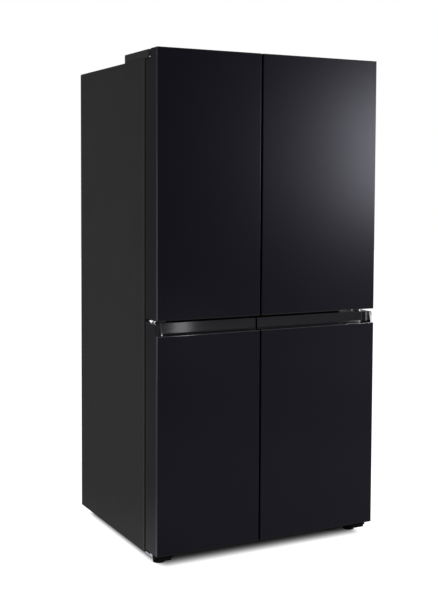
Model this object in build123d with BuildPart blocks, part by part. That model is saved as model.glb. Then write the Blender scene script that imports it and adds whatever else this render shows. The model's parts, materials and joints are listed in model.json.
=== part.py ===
from build123d import *
import os
from collections import namedtuple
from math import asin, atan2, cos, degrees, radians, sin

# A four-door refrigerator: two doors above two, freezer on the left, fresh food on the right.
# Origin on the floor under the middle of the cabinet, +X to the right, +Y to the back, +Z up.

os.makedirs("parts", exist_ok=True)

# ---- overall sizes ----
width = 900.0  # over the cabinet sides and over the closed doors
depth = 730.0  # door fronts to the rear flange of the cabinet
height = 1790.0  # floor to the top of the upper doors
case_drop = 28.0  # cabinet top below the tops of the upper doors
case_bottom = 33.0
door_zone = 108.0  # door fronts to the front flange of the cabinet
split_x = -43.0  # middle of the gap between the left and the right doors
door_gap = 6.0
lower_door_bottom = 45.0
lower_door_top = 851.0
row_gap = 12.0  # between the lower and the upper doors
step_drop = 33.0  # rear part of the upper doors, under the hinge arm

# ---- cabinet ----
sheet = 1.0  # cabinet steel
liner_wall = 2.0  # vacuum-formed compartment liners
frame_depth = 14.0  # folded front frame
base_sheet = 3.0
side_wall = 55.0  # foam beside the compartments
top_wall = 62.0
rear_wall = 65.0
partition = 80.0  # foam between the left and the right compartments
floor_rise = 40.0  # lower compartments' floor above the bottom of the doors
beam_reach = 39.0  # how far the foam between the rows reaches past the doors' edges
cavity_corner = 16.0
case_corner = 6.0
flange = 18.0  # front flange of the cabinet wrap
rear_flange = 12.0
rear_return = 20.0  # the rear flange is this long before the side wall starts
panel_inset = 7.0  # back panel in front of the rear flange
swage_count = 5
swage_spacing = 170.0
swage_width = 26.0
swage_height = 3.0
swage_end = 110.0  # plain panel above and below the swages

# ---- doors ----
door_thickness = 95.0
skin = 1.0  # door steel
skin_depth = 93.0  # how far the steel wraps back round the door's sides
skin_corner = 3.0
cap_wall = 3.0  # moulded door caps and grips
back_round = 1.5
step_front = 56.0  # thickness of the raised front part of the upper doors
raised_round = 6.0
gasket_inset = 20.0
gasket_width = 16.0
bellows = 2.5  # how much narrower the gasket's middle is on each side
gasket_layers = ((0.0, 0.4, 0.0), (0.4, 0.65, bellows), (0.65, 1.0, 0.0))  # from, to, narrower by
dike_clearance = 7.0  # door liner rim to the compartment walls
dike_height = 34.0
dike_wall = 24.0
dike_chamfer = 5.0
seat = 0.3  # gap between a moving piece and what it rests against
past = 1.0  # how far a cut runs beyond the piece it opens
running = 0.05  # radial clearance of a pin in its bush

# ---- grips ----
lip_top = 811.0
lip_depth = 12.0
lip_round = 2.0
pocket_depth = 32.0
pocket_end = 8.5  # wall at the outer end of the pocket; the inner end is open
pocket_corner = 30.0  # the outer end's whole wall is one curve
end_wall_foot = 6.0  # the end wall's front edge leans back from here
end_wall_head = 15.0
groove_bottom = 793.0
groove_corner = 8.0
finger_front = 12.0  # hidden groove under the upper doors
finger_width = 22.0
finger_height = 22.0
finger_end = 40.0

# ---- hinges ----
hinge_inset = 18.0  # pin axis from the side of the cabinet
hinge_setback = 74.0  # pin axis behind the door fronts
arm_round = 14.0  # rounded end of every hinge arm, about the pin
plate = 4.0
top_pin = 6.0  # radii of the pins
small_pin = 5.0
pin_length = 18.0  # pin inside its bush
bush_wall = 6.0
bush_depth = 20.0
collar = 9.0
pin_head = 14.0  # round head that stands above the top hinge arm
pin_socket = 3.5
arm_near = 18.0  # base of the top hinge arm, from the cabinet side
arm_far = 62.0
top_plate_length = 90.0
top_plate_far = 82.0
screw = 6.0
screw_height = 3.0
cover_inset = 12.0
cover_width = 84.0
cover_overhang = 8.0  # in front of the cabinet front
cover_length = 215.0
cover_height = 32.0
cover_wall = 2.5
cover_round = 7.0
bracket_near = 24.0
bracket_far = 84.0
bracket_wall = 3.0
bracket_rise = 14.0
foot_plate_near = 8.0
foot_plate_far = 78.0
foot_plate_front = 22.0  # front edge of the bottom hinge plate behind the door fronts
foot_plate_back = 60.0  # how far it runs under the cabinet
foot_plate_corner = 12.0
foot_plate_lip = 8.0

# ---- feet and rollers ----
foot_inset = 46.0
foot_setback = 84.0
foot_radius = 21.0
foot_height = 18.0
foot_round = 3.0
foot_notches = 12
foot_notch = 2.2
stud = 5.0
stud_top = 41.0
nut = 9.0
nut_height = 6.0
roller_radius = 22.0
roller_width = 20.0
roller_round = 3.0
roller_inset = 75.0
roller_from_rear = 60.0
roller_gap = 0.4
roller_slot = 26.0  # half the length of the opening above each roller
ear_wall = 3.0
ear_length = 36.0
ear_foot = 14.0
axle = 4.0

# ---- compressor bay ----
bay_depth = 225.0
bay_top = 290.0
bay_wall = 45.0
compressor_side = 235.0  # compressor's middle from the left side
compressor_from_rear = 115.0
compressor_radius = 75.0
compressor_bottom = 52.0
compressor_top = 236.0
dome = 38.0
seam = 5.0
mount_plate = (200.0, 150.0)
relay_box = (56.0, 12.0, 44.0)  # width, how far it stands out, height
pipe_reach = 26.0  # how far the compressor's two pipes stand out
pipe_rise = 30.0  # the pipes' distance above and below its seam
pipe_at = (20.0, 30.0)  # and their distances behind its middle
grommet = 11.0
shroud_from_compressor = 145.0
shroud_wall = 3.0
shroud_rim = 5.0  # how far the round rim stands out on both sides
spoke = 4.0
spoke_width = 8.0
spoke_post = 5.0
fan_from_rear = 120.0
fan_centre_z = 165.0
fan_radius = 76.0
fan_tip_gap = 5.0
fan_hub = 20.0
fan_depth = 24.0
blade = 2.0  # thickness
blade_root = (0.9, 35.0)  # chord over the fan's depth, and pitch in degrees
blade_tip = (1.7, 62.0)
blades = 5
motor_radius = 24.0
motor_length = 34.0
motor_gap = 6.0  # fan to motor
shaft_gap = 4.0  # end of the shaft inside the hub, from its face
shaft = 3.0
coil_from_shroud = 110.0
coil_from_side = 120.0
coil_length = 160.0
coil_from_rear = 40.0
coil_z = (78.0, 250.0)
fin_count = 12
fin = 1.2
tube = 4.0
coil_rows = 4
pan_inset = 4.0  # shorter than the coil at both ends
pan_height = 26.0
pan_wall = 2.0
pan_corner = 8.0
cover_sheet = 1.5
slot_count = 11
slot_spacing = 16.0
slot_length = 200.0
slot_width = 6.0
slot_side = 220.0  # middle of each group of louvres from the cabinet's side
gland_side = 120.0
gland_z = 90.0
gland_radius = 13.0
cord_hole = 5.0
gland_flange = 4.0

# ---- inner fittings ----
ledge = 10.0
ledge_height = 8.0
shelf_glass = 4.0
shelf_setback = 115.0  # shelf fronts behind the cabinet front
ledge_end = 4.0  # the shelf ledges stop this far from the trim and from the back
drawer_ledge_end = 6.0  # the drawer ledges and rims stop this far from both ends
shelf_gap = 1.0
trim_depth = 16.0
trim_height = 14.0
trim_lap = 8.0  # how far the trim grips the glass
shelf_count = 3
freezer_first = 178.0  # lowest shelf above the compartment's floor
freezer_pitch = 182.0
fridge_first = 196.0
fridge_pitch = 192.0
duct_depth = 79.0  # the freezer's rear duct
duct_wall = 2.5
vent_width = 90.0
vent_height = 9.0
vent_spacing = 126.0
evaporator_rise = 48.0
evaporator_height = 200.0
evaporator_gap = (14.0, 9.0)  # to the duct's front face and to the rear wall
evaporator_side = 52.0
cold_fan_rise = 120.0  # fan's middle above the evaporator
cold_fan_radius = 56.0
cold_fan_depth = 18.0
fridge_duct_width = 190.0
fridge_duct_depth = 26.0
bin_wall = 2.5
bin_reach = 104.0
bin_height = 92.0
bin_corner = 24.0
bin_count = 3
bin_rise = 50.0  # lowest bin above the compartment's floor
dairy_drop = 250.0  # dairy bin's floor below the compartment's ceiling
dairy_height = 66.0
lug = 9.0
lug_height = 10.0
lug_depth = 60.0
lid_wall = 2.5
lid_pivot_y = 14.0  # pivot behind the door liner's face
lid_pivot_z = 104.0  # pivot above the dairy bin's floor
lid_pin = 3.0
lid_pin_length = 9.0
lid_boss = 7.0
lid_top = 20.0  # slope of the lid's top, degrees
lid_gap = 1.0
drawer_wall = 2.5
drawer_setback = 29.0  # drawer fronts behind the cabinet front
drawer_front = 9.0
drawer_front_gap = 2.0
drawer_rear_gap = 10.0
drawer_corner = 14.0
drawer_floor_gap = 12.0
drawer_step_gap = (17.0, 10.0)  # below and above the step over the compressor bay
drawer_gap = 20.0
drawer_top_gap = 14.0
drawer_grip = 14.0
drawer_grip_depth = 5.0
lamp_width = 210.0
lamp_depth = 26.0
lamp_height = 6.0
lamp_setback = 187.0
panel_width = 190.0
panel_depth = 46.0
panel_height = 7.0
panel_setback = 59.0

# ---- places worked out from the sizes ----
front = -depth / 2
rear = depth / 2
case_top = height - case_drop
step_top = height - step_drop
upper_door_bottom = lower_door_top + row_gap
lower_floor = lower_door_bottom + floor_rise
lower_ceiling = lower_door_top - beam_reach
upper_floor = upper_door_bottom + beam_reach
case_front = front + door_zone
back_panel_y = rear - panel_inset
bay_front = back_panel_y - bay_depth
cavity_back = back_panel_y - rear_wall
low_back = bay_front - bay_wall
low_top = bay_top + bay_wall
upper_ceiling = case_top - top_wall
cavity_left = (-width / 2 + side_wall, split_x - partition / 2)
cavity_right = (split_x + partition / 2, width / 2 - side_wall)
hinge_x = width / 2 - hinge_inset
hinge_y = front + hinge_setback
door_back = front + door_thickness
gasket_depth = door_zone - door_thickness - seat
middle_z = (lower_door_top + upper_door_bottom - plate) / 2
base_top = case_bottom + base_sheet
frame_x = width / 2 - flange
frame_top = case_top - flange
cover_top = case_top + cover_height
compressor_at = (compressor_side - width / 2, rear - compressor_from_rear)
shroud_x = compressor_at[0] + shroud_from_compressor
fan_centre_y = rear - fan_from_rear
coil_x = (shroud_x + coil_from_shroud, width / 2 - coil_from_side)
coil_y = (rear - coil_from_rear - coil_length, rear - coil_from_rear)
gland_x = gland_side - width / 2
shelf_start = case_front + shelf_setback
duct_front = cavity_back - duct_depth
freezer_shelves_at = tuple(upper_floor + freezer_first + n * freezer_pitch for n in range(shelf_count))
fridge_shelves_at = tuple(upper_floor + fridge_first + n * fridge_pitch for n in range(shelf_count))
evaporator_z = (upper_floor + evaporator_rise, upper_floor + evaporator_rise + evaporator_height)
evaporator_y = (duct_front + evaporator_gap[0], cavity_back - evaporator_gap[1])
cold_fan_z = evaporator_z[1] + cold_fan_rise
dairy_floor = upper_ceiling - dairy_drop
bin_first = upper_floor + bin_rise
bin_floors = tuple(bin_first + n * (dairy_floor - bin_first) / bin_count for n in range(bin_count))
drawer_start = case_front + drawer_setback
drawer_base = low_top + drawer_step_gap[1]
drawer_tall = (lower_ceiling - drawer_top_gap - drawer_base - drawer_gap) / 2
drawer_levels = (
    (lower_floor + drawer_floor_gap, low_top - drawer_step_gap[0]),
    (drawer_base, drawer_base + drawer_tall),
    (drawer_base + drawer_tall + drawer_gap, lower_ceiling - drawer_top_gap),
)

Door = namedtuple("Door", "name left right bottom top side cavity")
left_doors = (-width / 2, split_x - door_gap / 2)
right_doors = (split_x + door_gap / 2, width / 2)
upper_doors = [
    Door("upper_left", *left_doors, upper_door_bottom, height, -1, cavity_left),
    Door("upper_right", *right_doors, upper_door_bottom, height, 1, cavity_right),
]
lower_doors = [
    Door("lower_left", *left_doors, lower_door_bottom, lower_door_top, -1, cavity_left),
    Door("lower_right", *right_doors, lower_door_bottom, lower_door_top, 1, cavity_right),
]
sides = (-1, 1)


def save(name, piece):
    """Labels a finished piece and writes its file."""
    piece.part.label = name
    export_step(piece.part, f"parts/{name}.step")


def upright(y):
    """An upright plane across the cabinet; extruding from it comes forward."""
    return Plane.XZ.offset(-y)


def beside(side, inset):
    """The x of a point set in from the left (-1) or the right (1) side of the cabinet."""
    return side * (width / 2 - inset)


def block(x0, x1, y0, y1, z0, z1, mode=Mode.ADD):
    """A plain block between two corners, given in any order."""
    with Locations(((x0 + x1) / 2, (y0 + y1) / 2, (z0 + z1) / 2)):
        Box(abs(x1 - x0), abs(y1 - y0), abs(z1 - z0), mode=mode)


def rounded_block(x0, x1, y0, y1, z0, z1, radius, mode=Mode.ADD):
    """A block whose four edges along the depth are rounded."""
    with BuildSketch(upright(y1)) as outline:
        with Locations(((x0 + x1) / 2, (z0 + z1) / 2)):
            RectangleRounded(abs(x1 - x0), z1 - z0, radius)
    extrude(outline.sketch, amount=y1 - y0, mode=mode)


def bar(x0, x1, points, mode=Mode.ADD):
    """A profile of (y, z) points carried across from x0 to x1."""
    with BuildSketch(Plane.YZ.offset(x0)) as outline:
        with BuildLine():
            Polyline(*points, close=True)
        make_face()
    extrude(outline.sketch, amount=x1 - x0, mode=mode)


def post(x, y, z0, z1, radius, mode=Mode.ADD):
    """An upright round post or hole."""
    with Locations((x, y, (z0 + z1) / 2)):
        Cylinder(radius, z1 - z0, mode=mode)


def rod(x0, x1, y, z, radius, mode=Mode.ADD):
    """A round rod or hole lying across the cabinet."""
    with Locations(((x0 + x1) / 2, y, z)):
        Cylinder(radius, x1 - x0, rotation=(0, 90, 0), mode=mode)


def spindle(x, z, y0, y1, radius, mode=Mode.ADD):
    """A round rod or hole lying along the depth."""
    with Locations((x, (y0 + y1) / 2, z)):
        Cylinder(radius, y1 - y0, rotation=(90, 0, 0), mode=mode)


# ---- cabinet ----


def case_section(inset, y0, y1, z0, mode=Mode.ADD):
    """The cabinet's outline, rounded at the two top corners, set in all round."""
    top = case_top - inset
    with BuildSketch(upright(y1)) as outline:
        with Locations((0, (z0 + top) / 2)):
            Rectangle(width - 2 * inset, top - z0)
        fillet(outline.vertices().group_by(Axis.Y)[-1], case_corner - inset)
    extrude(outline.sketch, amount=y1 - y0, mode=mode)


def cavities(grow, mode=Mode.SUBTRACT):
    """The compartments, grown outwards; the lower ones are shallow over the compressor bay."""
    radius = cavity_corner + grow
    for x0, x1 in (cavity_left, cavity_right):
        a, b, back = x0 - grow, x1 + grow, cavity_back + grow
        rounded_block(a, b, case_front, back, upper_floor - grow, upper_ceiling + grow, radius, mode)
        low, ceiling = lower_floor - grow, lower_ceiling + grow
        rounded_block(a, b, case_front, low_back + grow, low, ceiling, radius, mode)
        rounded_block(a, b, case_front, back, low_top - grow, ceiling, radius, mode)


with BuildPart() as case_wrap:
    below = case_bottom - past
    case_section(0, case_front, rear, case_bottom)
    case_section(sheet, case_front + sheet, rear - sheet, below, mode=Mode.SUBTRACT)
    window = width / 2 - flange
    block(-window, window, case_front - past, rear - rear_return, below, case_top - flange, mode=Mode.SUBTRACT)
    window = width / 2 - rear_flange
    block(-window, window, rear - rear_return, rear + past, below, case_top - rear_flange, mode=Mode.SUBTRACT)
save("case_wrap", case_wrap)

with BuildPart() as front_frame:
    block(-frame_x, frame_x, case_front, case_front + frame_depth, base_top, frame_top)
    cavities(liner_wall)
save("front_frame", front_frame)

with BuildPart() as insulation:
    case_section(sheet, case_front + sheet, back_panel_y, base_top)
    block(-frame_x, frame_x, case_front, case_front + frame_depth, case_bottom, frame_top, mode=Mode.SUBTRACT)
    cavities(liner_wall)
    block(-width, width, bay_front - sheet, rear, case_bottom, bay_top + sheet, mode=Mode.SUBTRACT)
save("insulation", insulation)

with BuildPart() as back_panel:
    panel_x = width / 2 - sheet
    block(-panel_x, panel_x, back_panel_y, back_panel_y + sheet, bay_top, case_top - case_corner)
    with BuildSketch(upright(back_panel_y + sheet)) as swages:
        with Locations((0, (bay_top + case_top) / 2)):
            with GridLocations(swage_spacing, 0, swage_count, 1):
                SlotOverall(case_top - bay_top - 2 * swage_end, swage_width, rotation=90)
    extrude(swages.sketch, amount=-swage_height)
save("back_panel", back_panel)

with BuildPart() as base_frame:
    base_x = width / 2 - sheet
    block(-base_x, base_x, case_front + sheet, back_panel_y, case_bottom, base_top)
    block(-base_x, base_x, bay_front - sheet, bay_front, base_top, bay_top + sheet)
    block(-base_x, base_x, bay_front, back_panel_y, bay_top, bay_top + sheet)
    for side in sides:
        x, y = beside(side, roller_inset), rear - roller_from_rear
        well = roller_width / 2 + roller_gap
        block(x - well, x + well, y - roller_slot, y + roller_slot, 0, base_top + past, mode=Mode.SUBTRACT)
        for ear in (x - well - ear_wall, x + well):
            block(ear, ear + ear_wall, y - ear_length / 2, y + ear_length / 2, ear_foot, case_bottom)
        rod(x - well - ear_wall, x + well + ear_wall, y, roller_radius, axle)
save("base_frame", base_frame)


def liner(cavity, shelves, drawers, back):
    """A vacuum-formed compartment liner, open at the front, with its shelf and drawer ledges."""
    x0, x1 = cavity
    rooms = [
        (case_front, cavity_back, upper_floor, upper_ceiling),
        (case_front, low_back, lower_floor, lower_ceiling),
        (case_front, cavity_back, low_top, lower_ceiling),
    ]
    with BuildPart() as tub:
        g, radius = liner_wall, cavity_corner
        for y0, y1, z0, z1 in rooms:
            rounded_block(x0 - g, x1 + g, y0, y1 + g, z0 - g, z1 + g, radius + g)
        for y0, y1, z0, z1 in rooms:
            rounded_block(x0, x1, y0, y1, z0, z1, radius, mode=Mode.SUBTRACT)
        for wall, inner in ((x0, x0 + ledge), (x1, x1 - ledge)):
            for z in shelves:
                block(wall, inner, shelf_start + trim_depth + ledge_end, back - ledge_end, z - ledge_height, z)
            for level, (z0, z1) in enumerate(drawers):
                y0 = drawer_start + drawer_front + drawer_ledge_end
                y1 = drawer_end(level) - drawer_ledge_end
                block(wall, inner, y0, y1, z1 - 2 * ledge_height, z1 - ledge_height)
    return tub


def drawer_end(level):
    """The back of a drawer; the lowest one stops short of the compressor bay."""
    return (low_back if level == 0 else cavity_back) - drawer_rear_gap


fridge_back = cavity_back - fridge_duct_depth
freezer_liner = liner(cavity_left, freezer_shelves_at, drawer_levels, duct_front)
save("freezer_liner", freezer_liner)
fridge_liner = liner(cavity_right, fridge_shelves_at, drawer_levels, fridge_back)
save("fridge_liner", fridge_liner)

# ---- hinges ----


def arm(side, base_y, near, far, z0, thickness, end_round, mode=Mode.ADD):
    """A plate tapering from a straight base to a round end about the hinge pin."""
    with BuildSketch(Plane.XY.offset(z0)) as outline:
        with BuildLine():
            Polyline(
                (beside(side, near), base_y),
                (beside(side, far), base_y),
                (beside(side, hinge_inset + end_round), hinge_y),
                (beside(side, hinge_inset - end_round), hinge_y),
                close=True,
            )
        make_face()
        with Locations((beside(side, hinge_inset), hinge_y)):
            Circle(end_round)
    extrude(outline.sketch, amount=thickness, mode=mode)


with BuildPart() as top_hinges:
    for side in sides:
        x = beside(side, hinge_inset)
        arm(side, case_front, arm_near, arm_far, case_top, plate, arm_round)
        x0, x1 = beside(side, arm_near), beside(side, top_plate_far)
        block(x0, x1, case_front, case_front + top_plate_length, case_top, case_top + plate)
        post(x, hinge_y, step_top - pin_length, case_top, top_pin)
        post(x, hinge_y, step_top + seat, case_top, collar)
        head = case_top + plate + pin_head
        post(x, hinge_y, case_top + plate, head, collar)
        post(x, hinge_y, case_top + plate, head + past, pin_socket, mode=Mode.SUBTRACT)
        for inset in (arm_near + 2 * screw, top_plate_far - 2 * screw):
            for y in (case_front + 3 * screw, case_front + top_plate_length - 2 * screw):
                post(beside(side, inset), y, case_top + plate, case_top + plate + screw_height, screw)
save("top_hinges", top_hinges)

with BuildPart() as hinge_covers:
    y0 = case_front - cover_overhang
    y1 = y0 + cover_length
    for side in sides:
        near, far = cover_inset, cover_inset + cover_width
        with BuildSketch(Plane.XY.offset(case_top)) as footprint:
            with Locations(((beside(side, near) + beside(side, far)) / 2, (y0 + y1) / 2)):
                RectangleRounded(cover_width, cover_length, cover_round)
        extrude(footprint.sketch, amount=cover_height)
    fillet(hinge_covers.faces().group_by(Axis.Z)[-1].edges(), cover_wall)
    for side in sides:
        w = cover_wall
        a, b = beside(side, cover_inset + w), beside(side, cover_inset + cover_width - w)
        block(a, b, y0 + w, y1 - w, case_top - past, cover_top - w, mode=Mode.SUBTRACT)
        a, b, slot_top = beside(side, hinge_inset - arm_round), beside(side, arm_far + seat), case_top + plate + seat
        block(a, b, y0 - past, y0 + w + past, case_top - past, slot_top, mode=Mode.SUBTRACT)
save("hinge_covers", hinge_covers)

with BuildPart() as middle_hinges:
    for side in sides:
        x, y = beside(side, hinge_inset), case_front - bracket_wall
        arm(side, y, bracket_near, bracket_far, middle_z, plate, arm_round)
        a, b = beside(side, bracket_near), beside(side, bracket_far)
        block(a, b, y, case_front, middle_z - bracket_rise, middle_z + plate + bracket_rise)
        post(x, hinge_y, lower_door_top - pin_length, upper_door_bottom + pin_length, small_pin)
        post(x, hinge_y, lower_door_top + seat, upper_door_bottom - seat, collar)
save("middle_hinges", middle_hinges)

with BuildPart() as bottom_hinges:
    for side in sides:
        a, b = sorted((beside(side, foot_plate_near), beside(side, foot_plate_far)))
        y0, y1 = front + foot_plate_front, case_front + foot_plate_back
        z0 = case_bottom - plate
        with BuildSketch(Plane.XY.offset(z0)) as outline:
            with Locations(((a + b) / 2, (y0 + y1) / 2)):
                RectangleRounded(b - a, y1 - y0, foot_plate_corner)
        extrude(outline.sketch, amount=plate)
        lip = foot_plate_corner
        block(a + lip, b - lip, y0, y0 + bracket_wall, z0 - foot_plate_lip, z0)
        x = beside(side, hinge_inset)
        post(x, hinge_y, z0, lower_door_bottom + pin_length, small_pin)
        post(x, hinge_y, case_bottom, lower_door_bottom - seat, collar)
        x, y = beside(side, foot_inset), front + foot_setback
        post(x, y, case_bottom, case_bottom + nut_height, nut)
        post(x, y, z0, case_bottom + nut_height, stud + running, mode=Mode.SUBTRACT)
save("bottom_hinges", bottom_hinges)

for side, name in zip(sides, ("left_foot", "right_foot")):
    x, y = beside(side, foot_inset), front + foot_setback
    with BuildPart() as foot:
        post(x, y, 0, foot_height, foot_radius)
        fillet(foot.faces().sort_by(Axis.Z)[-1].edges(), foot_round)
        with Locations((x, y, foot_height / 2)):
            with PolarLocations(foot_radius, foot_notches):
                Cylinder(foot_notch, foot_height, mode=Mode.SUBTRACT)
        post(x, y, foot_height, stud_top, stud)
    save(name, foot)

for side, name in zip(sides, ("left_roller", "right_roller")):
    x, y = beside(side, roller_inset), rear - roller_from_rear
    with BuildPart() as roller:
        rod(x - roller_width / 2, x + roller_width / 2, y, roller_radius, roller_radius)
        chamfer(roller.edges().filter_by(GeomType.CIRCLE), roller_round)
        rod(x - roller_width, x + roller_width, y, roller_radius, axle + running, mode=Mode.SUBTRACT)
    save(name, roller)

# ---- doors ----


def door_plate(door, y0, y1, z0, z1):
    """A plate over the door's whole width, rounded at the front corners like the steel."""
    with BuildSketch(Plane.XY.offset(z0)) as outline:
        with Locations(((door.left + door.right) / 2, (y0 + y1) / 2)):
            Rectangle(door.right - door.left, y1 - y0)
        if y0 == front:
            fillet(outline.vertices().group_by(Axis.Y)[0], skin_corner)
    extrude(outline.sketch, amount=z1 - z0)


def door_panel(door, upper):
    """The folded steel skin: front face and both sides in one sheet, cut to suit the caps."""
    z0, z1 = door.bottom + cap_wall, door.top - cap_wall
    with BuildPart() as panel:
        door_plate(door, front, front + skin_depth, z0, z1)
        with BuildSketch(Plane.XY.offset(z0)) as inside:
            y0, y1 = front + skin, front + skin_depth + past
            with Locations(((door.left + door.right) / 2, (y0 + y1) / 2)):
                Rectangle(door.right - door.left - 2 * skin, y1 - y0)
            fillet(inside.vertices().group_by(Axis.Y)[0], skin_corner - skin)
        extrude(inside.sketch, amount=z1 - z0, mode=Mode.SUBTRACT)
        a, b = door.left - past, door.right + past
        if upper:
            block(a, b, front + step_front - cap_wall, rear, step_top - cap_wall, height, mode=Mode.SUBTRACT)
        else:
            block(a, b, front - past, front + lip_depth, lip_top - cap_wall, door.top, mode=Mode.SUBTRACT)
            bar(a, b, end_wall_cut(door, lip_top), mode=Mode.SUBTRACT)
            inner = door.right if door.side < 0 else door.left
            a, b, y1 = inner - 2 * skin, inner + 2 * skin, front + pocket_depth
            block(a, b, front - past, y1, lip_top - cap_wall, door.top, mode=Mode.SUBTRACT)
    return panel


def end_wall_cut(door, z0):
    """What is cut away in front of the leaning front edge of the grip's end walls."""
    return [
        (front - past, z0),
        (front + end_wall_foot, z0),
        (front + end_wall_head, door.top),
        (front + end_wall_head, door.top + past),
        (front - past, door.top + past),
    ]


def door_liner(door, upper):
    """The foam-filled inner door: a slab with a raised rim that reaches into the compartment."""
    f, w = front + skin, cap_wall
    z0 = door.bottom + w
    if upper:
        z1, face = step_top - w, front + step_front - w
        profile = [(f, z0), (f, height - w), (face, height - w), (face, z1), (door_back, z1), (door_back, z0)]
        opening = (upper_floor, upper_ceiling)
    else:
        z1, face = door.top - w, front + pocket_depth + w
        channel = groove_bottom - w
        profile = [(f, z0), (f, channel), (face, channel), (face, z1), (door_back, z1), (door_back, z0)]
        opening = (lower_floor, lower_ceiling)
    x0, x1 = door.cavity[0] + dike_clearance, door.cavity[1] - dike_clearance
    r0, r1 = opening[0] + dike_clearance, opening[1] - dike_clearance
    pin = door.side * hinge_x
    with BuildPart() as slab:
        bar(door.left + skin, door.right - skin, profile)
        fillet(slab.edges().filter_by(Axis.Z).group_by(Axis.Y)[0], skin_corner - skin)
        block(door.left, door.right, front + skin_depth, door_back, z0, z1)
        fillet(slab.edges().filter_by(Axis.Z).group_by(Axis.Y)[-1], back_round)
        rounded_block(x0, x1, door_back, door_back + dike_height, r0, r1, cavity_corner)
        chamfer(slab.faces().group_by(Axis.Y)[-1].edges(), dike_chamfer)
        w = dike_wall
        rounded_block(x0 + w, x1 - w, door_back, rear, r0 + w, r1 - w, cavity_corner, mode=Mode.SUBTRACT)
        reach = bush_depth + cap_wall
        bush = small_pin + bush_wall
        if upper:
            post(pin, hinge_y, step_top - reach, step_top, top_pin + bush_wall, mode=Mode.SUBTRACT)
            post(pin, hinge_y, door.bottom, door.bottom + reach, bush, mode=Mode.SUBTRACT)
            a, b = door.left + finger_end - cap_wall, door.right - finger_end + cap_wall
            y0, y1 = front + finger_front - cap_wall, front + finger_front + finger_width + cap_wall
            block(a, b, y0, y1, door.bottom, door.bottom + finger_height + cap_wall, mode=Mode.SUBTRACT)
            for floor in bin_floors + (dairy_floor,):
                for wall, inner in ((x0 + w, x0 + w + lug), (x1 - w, x1 - w - lug)):
                    block(wall, inner, door_back, door_back + lug_depth, floor - lug_height, floor)
        else:
            post(pin, hinge_y, door.top - reach, door.top, bush, mode=Mode.SUBTRACT)
            post(pin, hinge_y, door.bottom, door.bottom + reach, bush, mode=Mode.SUBTRACT)
        if upper and door.side > 0:
            y, z = door_back + lid_pivot_y, dairy_floor + lid_pivot_z
            rod(x0 + w - lug, x1 - w + lug, y, z, lid_pin + running, mode=Mode.SUBTRACT)
    return slab


def door_gasket(door):
    """The magnetic seal: a ring of three layers, narrower at the bellows."""
    x0, x1 = door.left + gasket_inset, door.right - gasket_inset
    z0, z1 = door.bottom + gasket_inset, min(door.top, step_top) - gasket_inset
    with BuildPart() as ring:
        for start, end, n in gasket_layers:
            y0, y1 = door_back + start * gasket_depth, door_back + end * gasket_depth
            w = gasket_width - n
            block(x0 + n, x1 - n, y0, y1, z0 + n, z1 - n)
            block(x0 + w, x1 - w, y0, y1, z0 + w, z1 - w, mode=Mode.SUBTRACT)
    return ring


def bush(x, face, inner, bore, mouth):
    """A boss moulded on a cap round the hinge pin, open at the mouth."""
    post(x, hinge_y, min(face, inner), max(face, inner), bore + bush_wall)
    end = inner + (cap_wall if inner < mouth else -cap_wall)
    post(x, hinge_y, min(end, mouth), max(end, mouth), bore + running, mode=Mode.SUBTRACT)


def bottom_cap(door, finger):
    """The moulded cap under a door; the upper doors' has a hidden groove for the fingers."""
    z0, z1 = door.bottom, door.bottom + cap_wall
    pin = door.side * hinge_x
    with BuildPart() as cap:
        door_plate(door, front, door_back, z0, z1)
        if finger:
            a, b = door.left + finger_end, door.right - finger_end
            y0, y1 = front + finger_front, front + finger_front + finger_width
            w, head = cap_wall, z0 + finger_height
            block(a - w, b + w, y0 - w, y1 + w, z0, head + w)
            with BuildSketch(Plane.XY.offset(z0)) as groove:
                with Locations(((a + b) / 2, (y0 + y1) / 2)):
                    RectangleRounded(b - a, y1 - y0, groove_corner)
            extrude(groove.sketch, amount=finger_height, mode=Mode.SUBTRACT)
        bush(pin, z1, z0 + bush_depth + cap_wall, small_pin, z0)
    return cap


def top_cap(door):
    """The stepped cap on an upper door: high at the front, low under the hinge arm."""
    w, riser = cap_wall, front + step_front
    with BuildPart() as cap:
        door_plate(door, front, riser, height - w, height)
        block(door.left, door.right, riser - w, riser, step_top - w, height - w)
        block(door.left, door.right, riser - w, door_back, step_top - w, step_top)
        fillet(cap.edges().filter_by(Axis.X).group_by(Axis.Z)[-1].sort_by(Axis.Y)[-1], raised_round / 2)
        bush(door.side * hinge_x, step_top - w, step_top - bush_depth - cap_wall, top_pin, step_top)
    return cap


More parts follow.
